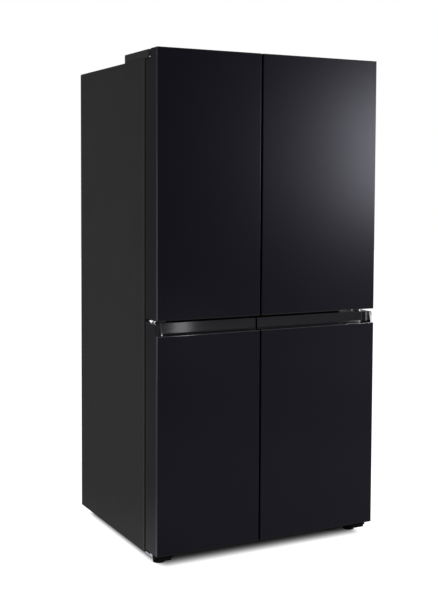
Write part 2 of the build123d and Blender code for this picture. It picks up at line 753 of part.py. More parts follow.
def door_grip(door):
    """The lower doors' pocket grip: a lip, a groove for the fingers and a set-back wall."""
    w, channel, back = cap_wall, groove_bottom - cap_wall, front + pocket_depth + cap_wall
    a, b = door.left + skin, door.right - skin
    with BuildPart() as grip:
        profile = [(front + skin, channel), (back, channel), (back, door.top - w), (front + skin, door.top - w)]
        bar(a, b, profile)
        fillet(grip.edges().filter_by(Axis.Z).group_by(Axis.Y)[0], skin_corner - skin)
        block(door.left, door.right, front + skin, door_back, door.top - w, door.top)
        block(a, b, front - past, front + skin, lip_top - w, door.top, mode=Mode.SUBTRACT)
        bar(door.left - past, door.right + past, end_wall_cut(door, lip_top), mode=Mode.SUBTRACT)
        door_plate(door, front, front + lip_depth, lip_top - w, lip_top)
        front_edges = grip.edges().filter_by(Axis.X).group_by(Axis.Y)[0]
        fillet(front_edges.sort_by(Axis.Z)[-1], lip_round)
        a = door.left + (pocket_end if door.side < 0 else -past)
        b = door.right - (pocket_end if door.side > 0 else -past)
        y0, y1 = front - pocket_corner, front + pocket_depth
        with BuildSketch(Plane.XY.offset(lip_top)) as pocket:
            with Locations(((a + b) / 2, (y0 + y1) / 2)):
                Rectangle(b - a, y1 - y0)
            outer = pocket.vertices().group_by(Axis.Y)[-1].sort_by(Axis.X)[0 if door.side < 0 else -1]
            fillet(outer, pocket_corner)
        extrude(pocket.sketch, amount=door.top - lip_top + past, mode=Mode.SUBTRACT)
        inset, y0 = pocket_end + pocket_corner, front + lip_depth
        a, b = door.left + inset, door.right - inset
        with BuildSketch(Plane.XY.offset(groove_bottom)) as groove:
            with Locations(((a + b) / 2, (y0 + y1) / 2)):
                RectangleRounded(b - a, y1 - y0, groove_corner)
        extrude(groove.sketch, amount=lip_top - groove_bottom, mode=Mode.SUBTRACT)
        bush(door.side * hinge_x, door.top - w, door.top - bush_depth - w, small_pin, door.top)
    return grip


for door in upper_doors:
    save(f"{door.name}_panel", door_panel(door, True))
    save(f"{door.name}_liner", door_liner(door, True))
    save(f"{door.name}_top_cap", top_cap(door))
    save(f"{door.name}_bottom_cap", bottom_cap(door, True))
    save(f"{door.name}_gasket", door_gasket(door))
for door in lower_doors:
    save(f"{door.name}_panel", door_panel(door, False))
    save(f"{door.name}_liner", door_liner(door, False))
    save(f"{door.name}_grip", door_grip(door))
    save(f"{door.name}_bottom_cap", bottom_cap(door, False))
    save(f"{door.name}_gasket", door_gasket(door))


def tray(x0, x1, y0, y1, z0, z1, wall, corner, round_edges):
    """An open-topped moulded tray, rounded at the chosen upright edges."""
    with BuildPart() as tub:
        block(x0, x1, y0, y1, z0, z1)
        edges = tub.edges().filter_by(Axis.Z)
        fillet(edges.group_by(Axis.Y)[-1] if round_edges == "back" else edges, corner)
        offset(amount=-wall, openings=tub.faces().sort_by(Axis.Z)[-1])
    return tub


for door in upper_doors:
    x0 = door.cavity[0] + dike_clearance + dike_wall + seat
    x1 = door.cavity[1] - dike_clearance - dike_wall - seat
    y0, y1 = door_back + seat, door_back + bin_reach
    with BuildPart() as bins:
        for floor in bin_floors + (dairy_floor,):
            tall = dairy_height if door.side > 0 and floor == dairy_floor else bin_height
            add(tray(x0, x1, y0, y1, floor, floor + tall, bin_wall, bin_corner, "back").part)
    save(f"{door.name}_bins", bins)

dairy_x = (cavity_right[0] + dike_clearance + dike_wall, cavity_right[1] - dike_clearance - dike_wall)
pivot_y, pivot_z = door_back + lid_pivot_y, dairy_floor + lid_pivot_z
rim_y, rim_z = door_back + bin_reach, dairy_floor + dairy_height + seat
lid_radius = ((rim_y - pivot_y) ** 2 + (rim_z - pivot_z) ** 2) ** 0.5
lid_low = degrees(atan2(rim_z - pivot_z, rim_y - pivot_y))


def about_pivot(radius, angle):
    """A (y, z) point at a radius and an angle about the lid's pivot."""
    return (pivot_y + radius * cos(radians(angle)), pivot_z + radius * sin(radians(angle)))


def lid_sector(x0, x1, radius, drop, low, mode=Mode.ADD):
    """A sector about the pivot whose sloping top is dropped by a wall's thickness."""
    tip = lid_top - degrees(asin(drop / radius))
    with BuildSketch(Plane.YZ.offset(x0)) as outline:
        with BuildLine():
            Polyline(about_pivot(radius, low), about_pivot(drop, lid_top - 90), about_pivot(radius, tip))
            ThreePointArc(
                about_pivot(radius, tip),
                about_pivot(radius, (tip + low) / 2),
                about_pivot(radius, low),
            )
        make_face()
    extrude(outline.sketch, amount=x1 - x0, mode=mode)


with BuildPart() as dairy_lid:
    a, b = dairy_x[0] + lid_gap, dairy_x[1] - lid_gap
    lid_sector(a, b, lid_radius, 0, lid_low)
    lid_sector(a + lid_wall, b - lid_wall, lid_radius - lid_wall, lid_wall, 2 * lid_low, mode=Mode.SUBTRACT)
    for x0, x1 in ((a, a + lid_wall), (b - lid_wall, b)):
        rod(x0, x1, pivot_y, pivot_z, lid_boss)
    rod(a - lid_pin_length, a, pivot_y, pivot_z, lid_pin)
    rod(b, b + lid_pin_length, pivot_y, pivot_z, lid_pin)
save("dairy_lid", dairy_lid)

# ---- machine compartment ----

cx, cy = compressor_at
with BuildPart() as compressor:
    post(cx, cy, compressor_bottom, compressor_top, compressor_radius)
    fillet(compressor.edges().filter_by(GeomType.CIRCLE).sort_by(Axis.Z)[-1], dome)
    fillet(compressor.edges().filter_by(GeomType.CIRCLE).sort_by(Axis.Z)[0], dome / 2)
    waist = (compressor_bottom + compressor_top) / 2
    post(cx, cy, waist - seam, waist + seam, compressor_radius + seam)
    a, b = mount_plate[0] / 2, mount_plate[1] / 2
    block(cx - a, cx + a, cy - b, cy + b, compressor_bottom - plate, compressor_bottom)
    wide, deep, tall = relay_box
    block(cx - wide / 2, cx + wide / 2, cy, cy + compressor_radius + deep, waist + 2 * seam, waist + 2 * seam + tall)
    for z, behind in zip((waist + pipe_rise, waist - pipe_rise), pipe_at):
        rod(cx, cx + compressor_radius + pipe_reach, cy + behind, z, tube)
save("compressor", compressor)

with BuildPart() as compressor_mounts:
    with Locations((cx, cy, (base_top + compressor_bottom - plate) / 2)):
        with GridLocations(mount_plate[0] - 2 * grommet, mount_plate[1] - 2 * grommet, 2, 2):
            Cylinder(grommet, compressor_bottom - plate - base_top)
save("compressor_mounts", compressor_mounts)


def finned_coil(xs, ys, zs, rows, fins, foot):
    """A coil of tubes that run back and forth through upright fins, held by two end plates."""
    pitch = (zs[1] - zs[0]) / rows
    y = (ys[0] + ys[1]) / 2
    levels = [zs[0] + pitch * (row + 0.5) for row in range(rows)]
    with BuildPart() as coil:
        step = (xs[1] - xs[0] - fin) / (fins - 1)
        for number in range(fins):
            x = xs[0] + number * step
            low = foot if number in (0, fins - 1) else zs[0]
            block(x, x + fin, ys[0], ys[1], low, zs[1])
        for level in levels:
            rod(xs[0] - 2 * tube, xs[1] + 2 * tube, y, level, tube)
        for row in range(rows - 1):
            x = xs[1] + 2 * tube if row % 2 == 0 else xs[0] - 2 * tube
            start = Plane(origin=(x, y, levels[row]), x_dir=(0, 1, 0), z_dir=(1, 0, 0))
            with BuildSketch(start) as section:
                Circle(tube)
            way = (0, -1, 0) if row % 2 == 0 else (0, 1, 0)
            bend = Axis((x, y, levels[row] + pitch / 2), way)
            revolve(section.sketch, axis=bend, revolution_arc=180)
    return coil


condenser = finned_coil(coil_x, coil_y, coil_z, coil_rows, fin_count, base_top)
save("condenser", condenser)

shaft_end = shroud_x - fan_depth / 2 + shaft_gap
motor_x = shroud_x + fan_depth / 2 + motor_gap
with BuildPart() as fan_shroud:
    ring = fan_radius + fan_tip_gap + shroud_wall
    block(shroud_x, shroud_x + shroud_wall, bay_front, back_panel_y, base_top, bay_top)
    a, b = shroud_x - shroud_rim, shroud_x + shroud_wall + shroud_rim
    rod(a, b, fan_centre_y, fan_centre_z, ring)
    rod(a - past, b + past, fan_centre_y, fan_centre_z, ring - shroud_wall, mode=Mode.SUBTRACT)
    spoke_x = motor_x + spoke_width
    for turn in (90, 210, 330):
        ry, rz = cos(radians(turn)), sin(radians(turn))
        with Locations((spoke_x, fan_centre_y + ring * ry / 2, fan_centre_z + ring * rz / 2)):
            Box(spoke, ring, spoke_width, rotation=(turn, 0, 0))
        rod(shroud_x, spoke_x + spoke / 2, fan_centre_y + ring * ry, fan_centre_z + ring * rz, spoke_post)
    rod(motor_x, motor_x + motor_length, fan_centre_y, fan_centre_z, motor_radius, mode=Mode.SUBTRACT)
save("fan_shroud", fan_shroud)

with BuildPart() as condenser_fan_motor:
    rod(motor_x, motor_x + motor_length, fan_centre_y, fan_centre_z, motor_radius)
    rod(shaft_end, motor_x, fan_centre_y, fan_centre_z, shaft)
save("condenser_fan_motor", condenser_fan_motor)


def fan(centre, axis, radius, thickness):
    """A hub with twisted blades, steeper at the root than at the tip."""
    across = Vector(*axis)
    hub_plane = Plane(origin=centre - across * (thickness / 2), z_dir=across)
    with BuildPart() as wheel:
        with BuildSketch(hub_plane):
            Circle(fan_hub)
        extrude(amount=thickness)
        for number in range(blades):
            turn = radians(360 / blades * number)
            out = hub_plane.x_dir * cos(turn) + hub_plane.y_dir * sin(turn)
            for reach, (chord, pitch) in ((fan_hub - blade, blade_root), (radius, blade_tip)):
                with BuildSketch(Plane(origin=centre + out * reach, x_dir=across, z_dir=out)):
                    Rectangle(thickness * chord, blade, rotation=pitch)
            loft()
        with BuildSketch(hub_plane):
            Circle(shaft + running)
        extrude(amount=thickness - shaft_gap + past, mode=Mode.SUBTRACT)
    return wheel


condenser_fan = fan(Vector(shroud_x, fan_centre_y, fan_centre_z), (-1, 0, 0), fan_radius, fan_depth)
save("condenser_fan", condenser_fan)

pan_x = (coil_x[0] + pan_inset, coil_x[1] - pan_inset)
drain_pan = tray(*pan_x, *coil_y, base_top, base_top + pan_height, pan_wall, pan_corner, "all")
save("drain_pan", drain_pan)

cover_back = back_panel_y + cover_sheet
with BuildPart() as machine_cover:
    cover_x = width / 2 - sheet
    block(-cover_x, cover_x, back_panel_y, cover_back, base_top, bay_top)
    with BuildSketch(upright(cover_back)) as louvres:
        with Locations((0, (base_top + bay_top) / 2)):
            with GridLocations(width - 2 * slot_side, slot_spacing, 2, slot_count):
                Rectangle(slot_length, slot_width)
    extrude(louvres.sketch, amount=cover_sheet, mode=Mode.SUBTRACT)
    neck = gland_radius - gland_flange
    spindle(gland_x, gland_z, back_panel_y - past, cover_back + past, neck, mode=Mode.SUBTRACT)
save("machine_cover", machine_cover)

with BuildPart() as cord_gland:
    spindle(gland_x, gland_z, back_panel_y - gland_flange, back_panel_y, gland_radius)
    spindle(gland_x, gland_z, back_panel_y, cover_back, neck)
    spindle(gland_x, gland_z, cover_back, cover_back + gland_flange, gland_radius)
    spindle(gland_x, gland_z, back_panel_y - 2 * gland_flange, rear + past, cord_hole, mode=Mode.SUBTRACT)
save("cord_gland", cord_gland)

# ---- cold air ----

duct_x = (cavity_left[0] + shelf_gap, cavity_left[1] - shelf_gap)
duct_z = (upper_floor + shelf_gap, upper_ceiling - shelf_gap)
cold_x = (cavity_left[0] + cavity_left[1]) / 2
with BuildPart() as freezer_duct:
    rounded_block(*duct_x, duct_front, cavity_back, *duct_z, cavity_corner)
    w = duct_wall
    rounded_block(
        duct_x[0] + w, duct_x[1] - w, duct_front + w, cavity_back, duct_z[0] + w, duct_z[1] - w, cavity_corner - w,
        mode=Mode.SUBTRACT,
    )
    with BuildSketch(upright(duct_front + duct_wall)) as vents:
        pitch = freezer_shelves_at[1] - freezer_shelves_at[0]
        with Locations((cold_x, freezer_shelves_at[1] + trim_height + 2 * vent_height)):
            with GridLocations(vent_spacing, pitch, 2, 3):
                SlotOverall(vent_width, vent_height)
    extrude(vents.sketch, amount=duct_wall, mode=Mode.SUBTRACT)
save("freezer_duct", freezer_duct)

evaporator_x = (cavity_left[0] + evaporator_side, cavity_left[1] - evaporator_side)
evaporator = finned_coil(evaporator_x, evaporator_y, evaporator_z, coil_rows, fin_count, duct_z[0] + duct_wall)
save("evaporator", evaporator)

cold_fan_y = (evaporator_y[0] + evaporator_y[1]) / 2 - motor_length / 2
cold_motor_y = cold_fan_y + cold_fan_depth / 2 + shaft_gap
with BuildPart() as evaporator_fan_motor:
    spindle(cold_x, cold_fan_z, cold_motor_y, cavity_back, motor_radius)
    spindle(cold_x, cold_fan_z, cold_fan_y - cold_fan_depth / 2 + shaft_gap, cold_motor_y, shaft)
save("evaporator_fan_motor", evaporator_fan_motor)

evaporator_fan = fan(Vector(cold_x, cold_fan_y, cold_fan_z), (0, -1, 0), cold_fan_radius, cold_fan_depth)
save("evaporator_fan", evaporator_fan)

warm_x = (cavity_right[0] + cavity_right[1]) / 2
with BuildPart() as fridge_duct:
    a, b = warm_x - fridge_duct_width / 2, warm_x + fridge_duct_width / 2
    z0, z1 = upper_floor + side_wall, upper_ceiling - side_wall
    rounded_block(a, b, fridge_back, cavity_back, z0, z1, cavity_corner)
    fillet(fridge_duct.faces().group_by(Axis.Y)[0].edges(), duct_wall)
    w = duct_wall
    rounded_block(a + w, b - w, fridge_back + w, cavity_back, z0 + w, z1 - w, cavity_corner - w, mode=Mode.SUBTRACT)
    with BuildSketch(upright(fridge_back + duct_wall)) as vents:
        with Locations((warm_x, fridge_shelves_at[1] + trim_height + 2 * vent_height)):
            with GridLocations(0, fridge_shelves_at[1] - fridge_shelves_at[0], 1, 3):
                SlotOverall(vent_width, vent_height)
    extrude(vents.sketch, amount=duct_wall, mode=Mode.SUBTRACT)
save("fridge_duct", fridge_duct)

# ---- shelves and drawers ----


def shelves(cavity, levels, back):
    """Glass shelves on the liner's ledges, and the trims that grip their front edges."""
    x0, x1 = cavity[0] + shelf_gap, cavity[1] - shelf_gap
    y0 = shelf_start + trim_depth - trim_lap
    with BuildPart() as glass:
        for z in levels:
            block(x0, x1, y0, back - shelf_gap, z, z + shelf_glass)
    with BuildPart() as trims:
        for z in levels:
            middle = z + shelf_glass / 2
            low, high = middle - trim_height / 2, middle + trim_height / 2
            block(x0, x1, shelf_start, shelf_start + trim_depth, low, high)
            block(x0, x1, y0, shelf_start + trim_depth, z, z + shelf_glass, mode=Mode.SUBTRACT)
        fillet(trims.edges().filter_by(Axis.X).group_by(Axis.Y)[0], trim_height / 4)
    return glass, trims


def drawers(cavity):
    """Three drawers that hang by their rims on the liner's ledges."""
    inner = ledge + shelf_gap
    with BuildPart() as stack:
        for level, (z0, z1) in enumerate(drawer_levels):
            y1 = drawer_end(level)
            y0 = drawer_start + drawer_front
            a, b = cavity[0] + inner, cavity[1] - inner
            add(tray(a, b, y0, y1, z0, z1, drawer_wall, drawer_corner, "back").part)
            rim = z1 - ledge_height
            for wall, side in ((cavity[0] + shelf_gap, a), (cavity[1] - shelf_gap, b)):
                block(wall, side, y0 + drawer_ledge_end, y1 - drawer_corner, rim, rim + drawer_wall)
            a, b = cavity[0] + drawer_front_gap, cavity[1] - drawer_front_gap
            block(a, b, drawer_start, y0, z0 - drawer_front_gap, z1 + drawer_front_gap)
            x = (a + b) / 2
            grip = (b - a) / 4
            y1 = drawer_start + drawer_grip_depth
            block(x - grip, x + grip, drawer_start, y1, z1 - 3 * drawer_grip, z1 - drawer_grip, mode=Mode.SUBTRACT)
    return stack


freezer_glass, freezer_trims = shelves(cavity_left, freezer_shelves_at, duct_front)
save("freezer_shelves", freezer_glass)
save("freezer_shelf_trims", freezer_trims)
fridge_glass, fridge_trims = shelves(cavity_right, fridge_shelves_at, fridge_back)
save("fridge_shelves", fridge_glass)
save("fridge_shelf_trims", fridge_trims)
save("freezer_drawers", drawers(cavity_left))
save("crisper_drawers", drawers(cavity_right))

with BuildPart() as lamps:
    for x in (cold_x, warm_x):
        a, b = x - lamp_width / 2, x + lamp_width / 2
        y0 = case_front + lamp_setback
        block(a, b, y0, y0 + lamp_depth, upper_ceiling - lamp_height, upper_ceiling)
save("lamps", lamps)

with BuildPart() as control_panel:
    a, b = warm_x - panel_width / 2, warm_x + panel_width / 2
    y0 = case_front + panel_setback
    block(a, b, y0, y0 + panel_depth, upper_ceiling - panel_height, upper_ceiling)
    fillet(control_panel.edges().filter_by(Axis.Z), panel_height)
save("control_panel", control_panel)
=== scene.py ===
import json
from math import cos, radians, sin, tau

import bmesh
import bpy
import numpy as np
from mathutils import Matrix, Vector


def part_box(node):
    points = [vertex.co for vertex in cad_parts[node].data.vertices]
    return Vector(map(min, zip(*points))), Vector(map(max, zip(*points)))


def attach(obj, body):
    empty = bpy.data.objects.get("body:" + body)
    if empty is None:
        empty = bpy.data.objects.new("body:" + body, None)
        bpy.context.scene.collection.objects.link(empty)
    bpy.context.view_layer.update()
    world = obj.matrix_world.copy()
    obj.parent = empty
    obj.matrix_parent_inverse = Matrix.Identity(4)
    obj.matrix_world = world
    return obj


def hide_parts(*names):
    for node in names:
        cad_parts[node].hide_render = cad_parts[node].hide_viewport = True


# A four-door refrigerator dressed for a studio picture. Metres, +Z up, the doors face -Y.

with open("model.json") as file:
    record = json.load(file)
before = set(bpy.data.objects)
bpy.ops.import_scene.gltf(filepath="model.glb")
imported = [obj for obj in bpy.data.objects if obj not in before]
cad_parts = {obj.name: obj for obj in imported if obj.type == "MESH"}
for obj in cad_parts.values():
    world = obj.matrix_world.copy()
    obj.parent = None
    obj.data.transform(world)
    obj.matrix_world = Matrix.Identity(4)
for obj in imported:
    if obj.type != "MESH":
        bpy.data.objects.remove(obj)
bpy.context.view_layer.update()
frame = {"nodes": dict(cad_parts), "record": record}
nodes = frame["nodes"]
print("frame loaded:", len(nodes), "nodes")

upperDoors = ("upper_left", "upper_right")
doors = upperDoors + ("lower_left", "lower_right")


# A node tree's shorthand: a node of a kind, with its settings and its input values.
def addNode(tree, kind, settings=None, **values):
    node = tree.nodes.new(kind)
    for key, value in (settings or {}).items():
        setattr(node, key, value)
    for key, value in values.items():
        node.inputs[key.replace("_", " ")].default_value = value
    return node


# A Math node whose inputs are sockets to link or numbers to set.
def maths(tree, operation, *inputs):
    node = addNode(tree, "ShaderNodeMath", {"operation": operation})
    for socket, value in zip(node.inputs, inputs):
        if isinstance(value, bpy.types.NodeSocket):
            tree.links.new(value, socket)
        else:
            socket.default_value = value
    return node.outputs[0]


# A value that runs from start to end becomes one that runs from low to high.
def ramp(tree, value, start=0.0, end=1.0, low=0.0, high=1.0, kind="LINEAR"):
    limits = {"From_Min": start, "From_Max": end, "To_Min": low, "To_Max": high}
    node = addNode(tree, "ShaderNodeMapRange", {"interpolation_type": kind}, **limits)
    tree.links.new(value, node.inputs["Value"])
    return node.outputs["Result"]


# The X, Y and Z of a point of the object.
def ownPlace(tree):
    place = addNode(tree, "ShaderNodeTexCoord")
    split = addNode(tree, "ShaderNodeSeparateXYZ")
    tree.links.new(place.outputs["Object"], split.inputs[0])
    return split.outputs


# An empty material with its shader, and Object coordinates stretched by the given scale.
def startMaterial(name, stretch=(1, 1, 1)):
    material = bpy.data.materials.new(name)
    material.use_nodes = True
    tree = material.node_tree
    shader = tree.nodes["Principled BSDF"]
    place = addNode(tree, "ShaderNodeTexCoord")
    mapping = addNode(tree, "ShaderNodeMapping", Scale=stretch)
    tree.links.new(place.outputs["Object"], mapping.inputs["Vector"])
    return material, tree, shader, mapping.outputs["Vector"]


# Colour that drifts between two close shades, over patches of a size in metres.
def mottle(tree, where, shader, colour, spread, patch):
    noise = addNode(tree, "ShaderNodeTexNoise", Scale=1 / patch, Detail=3.0, Roughness=0.55)
    shades = addNode(tree, "ShaderNodeValToRGB")
    for element, position, factor in zip(shades.color_ramp.elements, (0.3, 0.7), (1 - spread, 1 + spread)):
        element.position = position
        element.color = [c * factor for c in colour] + [1]
    tree.links.new(where, noise.inputs["Vector"])
    tree.links.new(noise.outputs["Fac"], shades.inputs["Fac"])
    tree.links.new(shades.outputs["Color"], shader.inputs["Base Color"])


# Roughness that wanders between two values, with smudges or wear of a size in metres.
def wander(tree, where, shader, low, high, patch):
    noise = addNode(tree, "ShaderNodeTexNoise", Scale=1 / patch, Detail=5.0, Roughness=0.6)
    tree.links.new(where, noise.inputs["Vector"])
    tree.links.new(ramp(tree, noise.outputs["Fac"], low=low, high=high), shader.inputs["Roughness"])


# A fine relief: grains or bubbles of a size and a height in metres.
def grain(tree, where, shader, size, height, strength, bubbles=False):
    if bubbles:
        relief = addNode(tree, "ShaderNodeTexVoronoi", Scale=1 / size)
    else:
        relief = addNode(tree, "ShaderNodeTexNoise", Scale=1 / size, Detail=2.0, Roughness=0.6)
    bump = addNode(tree, "ShaderNodeBump", Strength=strength, Distance=height)
    tree.links.new(where, relief.inputs["Vector"])
    tree.links.new(relief.outputs["Distance" if bubbles else "Fac"], bump.inputs["Height"])
    tree.links.new(bump.outputs["Normal"], shader.inputs["Normal"])


# The base colour gives way to a plain one where the amount is one.
def coverColour(tree, shader, amount, colour):
    mix = addNode(tree, "ShaderNodeMix", {"data_type": "RGBA"})
    mix.inputs[7].default_value = (*colour, 1)
    tree.links.new(amount, mix.inputs[0])
    tree.links.new(shader.inputs["Base Color"].links[0].from_socket, mix.inputs[6])
    tree.links.new(mix.outputs[2], shader.inputs["Base Color"])


# One at the outermost edges of the object's width, nought inside start; forward is a range of
# depth in front of which it stays.
def outerBand(tree, start, end, forward=None):
    place = ownPlace(tree)
    band = ramp(tree, maths(tree, "ABSOLUTE", place["X"]), start, end)
    if forward is None:
        return band
    return maths(tree, "MULTIPLY", band, ramp(tree, place["Y"], *forward))


doorPaint = {
    "colour": (0.0042, 0.004, 0.0069), "rough": (0.225, 0.245), "specular": 0.0595,
    "tint": (0.845, 0.835, 1.0), "grain": 0.0011, "height": 0.00004, "fold": (-0.3545, -0.3565),
}
casePaint = {
    "colour": (0.0265, 0.0265, 0.028), "rough": (0.44, 0.52), "specular": 0.045,
    "tint": (0.97, 0.96, 1.0), "grain": 0.0016, "height": 0.00004, "fold": (-0.2525, -0.2545),
}
gripPaint = {
    "colour": (0.0125, 0.0123, 0.0144), "rough": (0.07, 0.09), "specular": 0.18,
    "tint": (0.95, 0.94, 1.0), "grain": 0.0008, "height": 0.00001,
    "lip": (0.8125, 0.8113), "lipSpecular": 0.56,
}
compressorPaint = {
    "colour": (0.012, 0.012, 0.012), "rough": (0.18, 0.3), "specular": 0.5,
    "tint": (1, 1, 1), "grain": 0.003, "height": 0.00004,
}
burnish = {"across": (0.4472, 0.448), "specular": 0.32}  # along a front fold on the outermost sides


# Baked paint on sheet steel: nearly even colour, faint orange peel, a satin that wanders a little.
# The front fold of a side wall or a door's outer side, and the lip of a pocket grip, are glossier.
def paintedSheet(name, look):
    material, tree, shader, where = startMaterial(name)
    mottle(tree, where, shader, look["colour"], spread=0.05, patch=0.12)
    wander(tree, where, shader, *look["rough"], patch=0.2)
    grain(tree, where, shader, look["grain"], look["height"], strength=0.5)
    shader.inputs["Specular IOR Level"].default_value = look["specular"]
    shader.inputs["Specular Tint"].default_value = (*look["tint"], 1)
    gloss = None
    if "lip" in look:
        gloss = ramp(tree, ownPlace(tree)["Z"], *look["lip"], look["specular"], look["lipSpecular"])
    if "fold" in look:
        band = outerBand(tree, *burnish["across"], look["fold"])
        gloss = ramp(tree, band, low=look["specular"], high=burnish["specular"])
    if gloss is not None:
        tree.links.new(gloss, shader.inputs["Specular IOR Level"])
    return material


moulded = {"specular": 0.5, "grain": 0.001, "height": 0.00004}  # where a plastic says nothing else
blackCap = {
    "colour": (0.006, 0.006, 0.0068), "rough": (0.42, 0.52), "specular": 0.06,
    "grain": 0.0009, "height": 0.00006,
}
coverCap = {
    "colour": (0.034, 0.034, 0.035), "rough": (0.5, 0.6), "specular": 0.06,
    "grain": 0.0012, "height": 0.00008,
}
footRubber = {
    "colour": (0.004, 0.004, 0.004), "rough": (0.5, 0.6), "specular": 0.02,
    "grain": 0.001, "height": 0.00005,
}
whiteLiner = {
    "colour": (0.8, 0.81, 0.82), "rough": (0.36, 0.42), "specular": 0.4,
    "grain": 0.0012, "height": 0.00001,
}
doorLiner = {**whiteLiner, "rim": (0.02, 0.02, 0.022), "rimBand": (0.4465, 0.4475)}
ductWhite = {**moulded, "colour": (0.74, 0.75, 0.77), "rough": (0.38, 0.48)}
fanGrey = {**moulded, "colour": (0.05, 0.05, 0.055), "rough": (0.4, 0.5)}
rollerGrey = {**moulded, "colour": (0.12, 0.12, 0.125), "rough": (0.5, 0.6), "height": 0.00005}
trimGrey = {**moulded, "colour": (0.62, 0.63, 0.65), "rough": (0.2, 0.28), "grain": 0.0012, "height": 0.00002}
panelBlack = {
    **moulded, "colour": (0.008, 0.008, 0.009), "rough": (0.08, 0.14), "grain": 0.003, "height": 0.00001,
}
lampLens = {**moulded, "colour": (0.88, 0.88, 0.86), "rough": (0.25, 0.32), "grain": 0.002, "height": 0.00006}
drift = {"pale": 0.015, "dark": 0.04}


# Moulded plastic: a fine pebble from the tool, and a drift in colour and gloss.
def mouldedPlastic(name, look):
    material, tree, shader, where = startMaterial(name)
    spread = drift["pale"] if look["colour"][0] > 0.5 else drift["dark"]
    mottle(tree, where, shader, look["colour"], spread, patch=0.05)
    wander(tree, where, shader, *look["rough"], patch=0.06)
    grain(tree, where, shader, look["grain"], look["height"], strength=0.6)
    shader.inputs["Specular IOR Level"].default_value = look["specular"]
    if "rim" in look:
        coverColour(tree, shader, outerBand(tree, *look["rimBand"]), look["rim"])
    return material


clearBin = {"tint": (0.93, 0.97, 0.99), "rough": (0.04, 0.1), "ior": 1.49, "grain": 0.006}
shelfPane = {"tint": (0.88, 0.97, 0.95), "rough": (0.01, 0.04), "ior": 1.5, "grain": 0.02}


# Clear plastic or glass: nearly all light passes, with faint flow marks.
def clearSheet(name, look):
    material, tree, shader, where = startMaterial(name)
    mottle(tree, where, shader, look["tint"], spread=0.01, patch=0.08)
    wander(tree, where, shader, *look["rough"], patch=0.1)
    grain(tree, where, shader, look["grain"], height=0.00003, strength=0.3)
    shader.inputs["Transmission Weight"].default_value = 1.0
    shader.inputs["IOR"].default_value = look["ior"]
    return material


zincPlate = {"colour": (0.58, 0.59, 0.61), "rough": (0.26, 0.42), "stretch": (1, 12, 1)}
coilMetal = {"colour": (0.66, 0.67, 0.68), "rough": (0.25, 0.4), "stretch": (1, 1, 14)}
motorMetal = {"colour": (0.3, 0.3, 0.31), "rough": (0.35, 0.5), "stretch": (1, 1, 1)}


# Bare or plated metal with drawn or brushed marks along one way.
def bareMetal(name, look):
    material, tree, shader, where = startMaterial(name, look["stretch"])
    mottle(tree, where, shader, look["colour"], spread=0.08, patch=0.03)
    wander(tree, where, shader, *look["rough"], patch=0.01)
    grain(tree, where, shader, size=0.002, height=0.00003, strength=0.4)
    shader.inputs["Metallic"].default_value = 1.0
    return material


noseDip = {"colour": (0.003, 0.003, 0.0033), "edge": (-0.312, -0.308), "rough": 0.5, "specular": 0.02}


# The bottom hinge plates: zinc, with the nose under the doors dipped in black paint.
def noseHinge(name, plate, dip):
    material = bareMetal(name, plate)
    tree = material.node_tree
    painted = addNode(tree, "ShaderNodeBsdfPrincipled", Roughness=dip["rough"])
    painted.inputs["Base Color"].default_value = (*dip["colour"], 1)
    painted.inputs["Specular IOR Level"].default_value = dip["specular"]
    mix = addNode(tree, "ShaderNodeMixShader")
    tree.links.new(ramp(tree, ownPlace(tree)["Y"], *dip["edge"]), mix.inputs["Fac"])
    tree.links.new(painted.outputs[0], mix.inputs[1])
    tree.links.new(tree.nodes["Principled BSDF"].outputs[0], mix.inputs[2])
    tree.links.new(mix.outputs[0], tree.nodes["Material Output"].inputs["Surface"])
    return material


galvanised = {
    "colour": (0.4, 0.41, 0.42), "spangle": 0.012, "contrast": 0.2, "rough": (0.35, 0.6), "metallic": 0.85,
}


# Galvanised sheet: crystals of zinc, each of its own shade.
def spangledZinc(name, look):
    material, tree, shader, where = startMaterial(name)
    cells = addNode(tree, "ShaderNodeTexVoronoi", Scale=1 / look["spangle"])
    tone = addNode(tree, "ShaderNodeSeparateColor")
    shades = addNode(tree, "ShaderNodeValToRGB")
    for element, factor in zip(shades.color_ramp.elements, (1 - look["contrast"], 1 + look["contrast"])):
        element.color = [c * factor for c in look["colour"]] + [1]
    tree.links.new(where, cells.inputs["Vector"])
    tree.links.new(cells.outputs["Color"], tone.inputs["Color"])
    tree.links.new(tone.outputs["Red"], shades.inputs["Fac"])
    tree.links.new(shades.outputs["Color"], shader.inputs["Base Color"])
    wander(tree, where, shader, *look["rough"], patch=0.02)
    grain(tree, where, shader, size=0.003, height=0.00003, strength=0.5)
    shader.inputs["Metallic"].default_value = look["metallic"]
    return material


sealRubber = {"colour": (0.03, 0.03, 0.033), "rough": (0.55, 0.65), "sheen": 0.15}


# Soft vinyl of the door seals and the rubber of the mounts: dull, with a soft sheen.
def softSeal(name, look):
    material, tree, shader, where = startMaterial(name)
    mottle(tree, where, shader, look["colour"], spread=0.08, patch=0.03)
    wander(tree, where, shader, *look["rough"], patch=0.02)
    grain(tree, where, shader, size=0.0012, height=0.00005, strength=0.5)
    shader.inputs["Sheen Weight"].default_value = look["sheen"]
    return material


foamFace = {"colour": (0.72, 0.66, 0.42), "rough": (0.7, 0.85)}


# Set foam: small bubbles all over.
def bubbledFoam(name, look):
    material, tree, shader, where = startMaterial(name)
    mottle(tree, where, shader, look["colour"], spread=0.1, patch=0.02)
    wander(tree, where, shader, *look["rough"], patch=0.02)
    grain(tree, where, shader, size=0.002, height=0.0004, strength=0.6, bubbles=True)
    return material


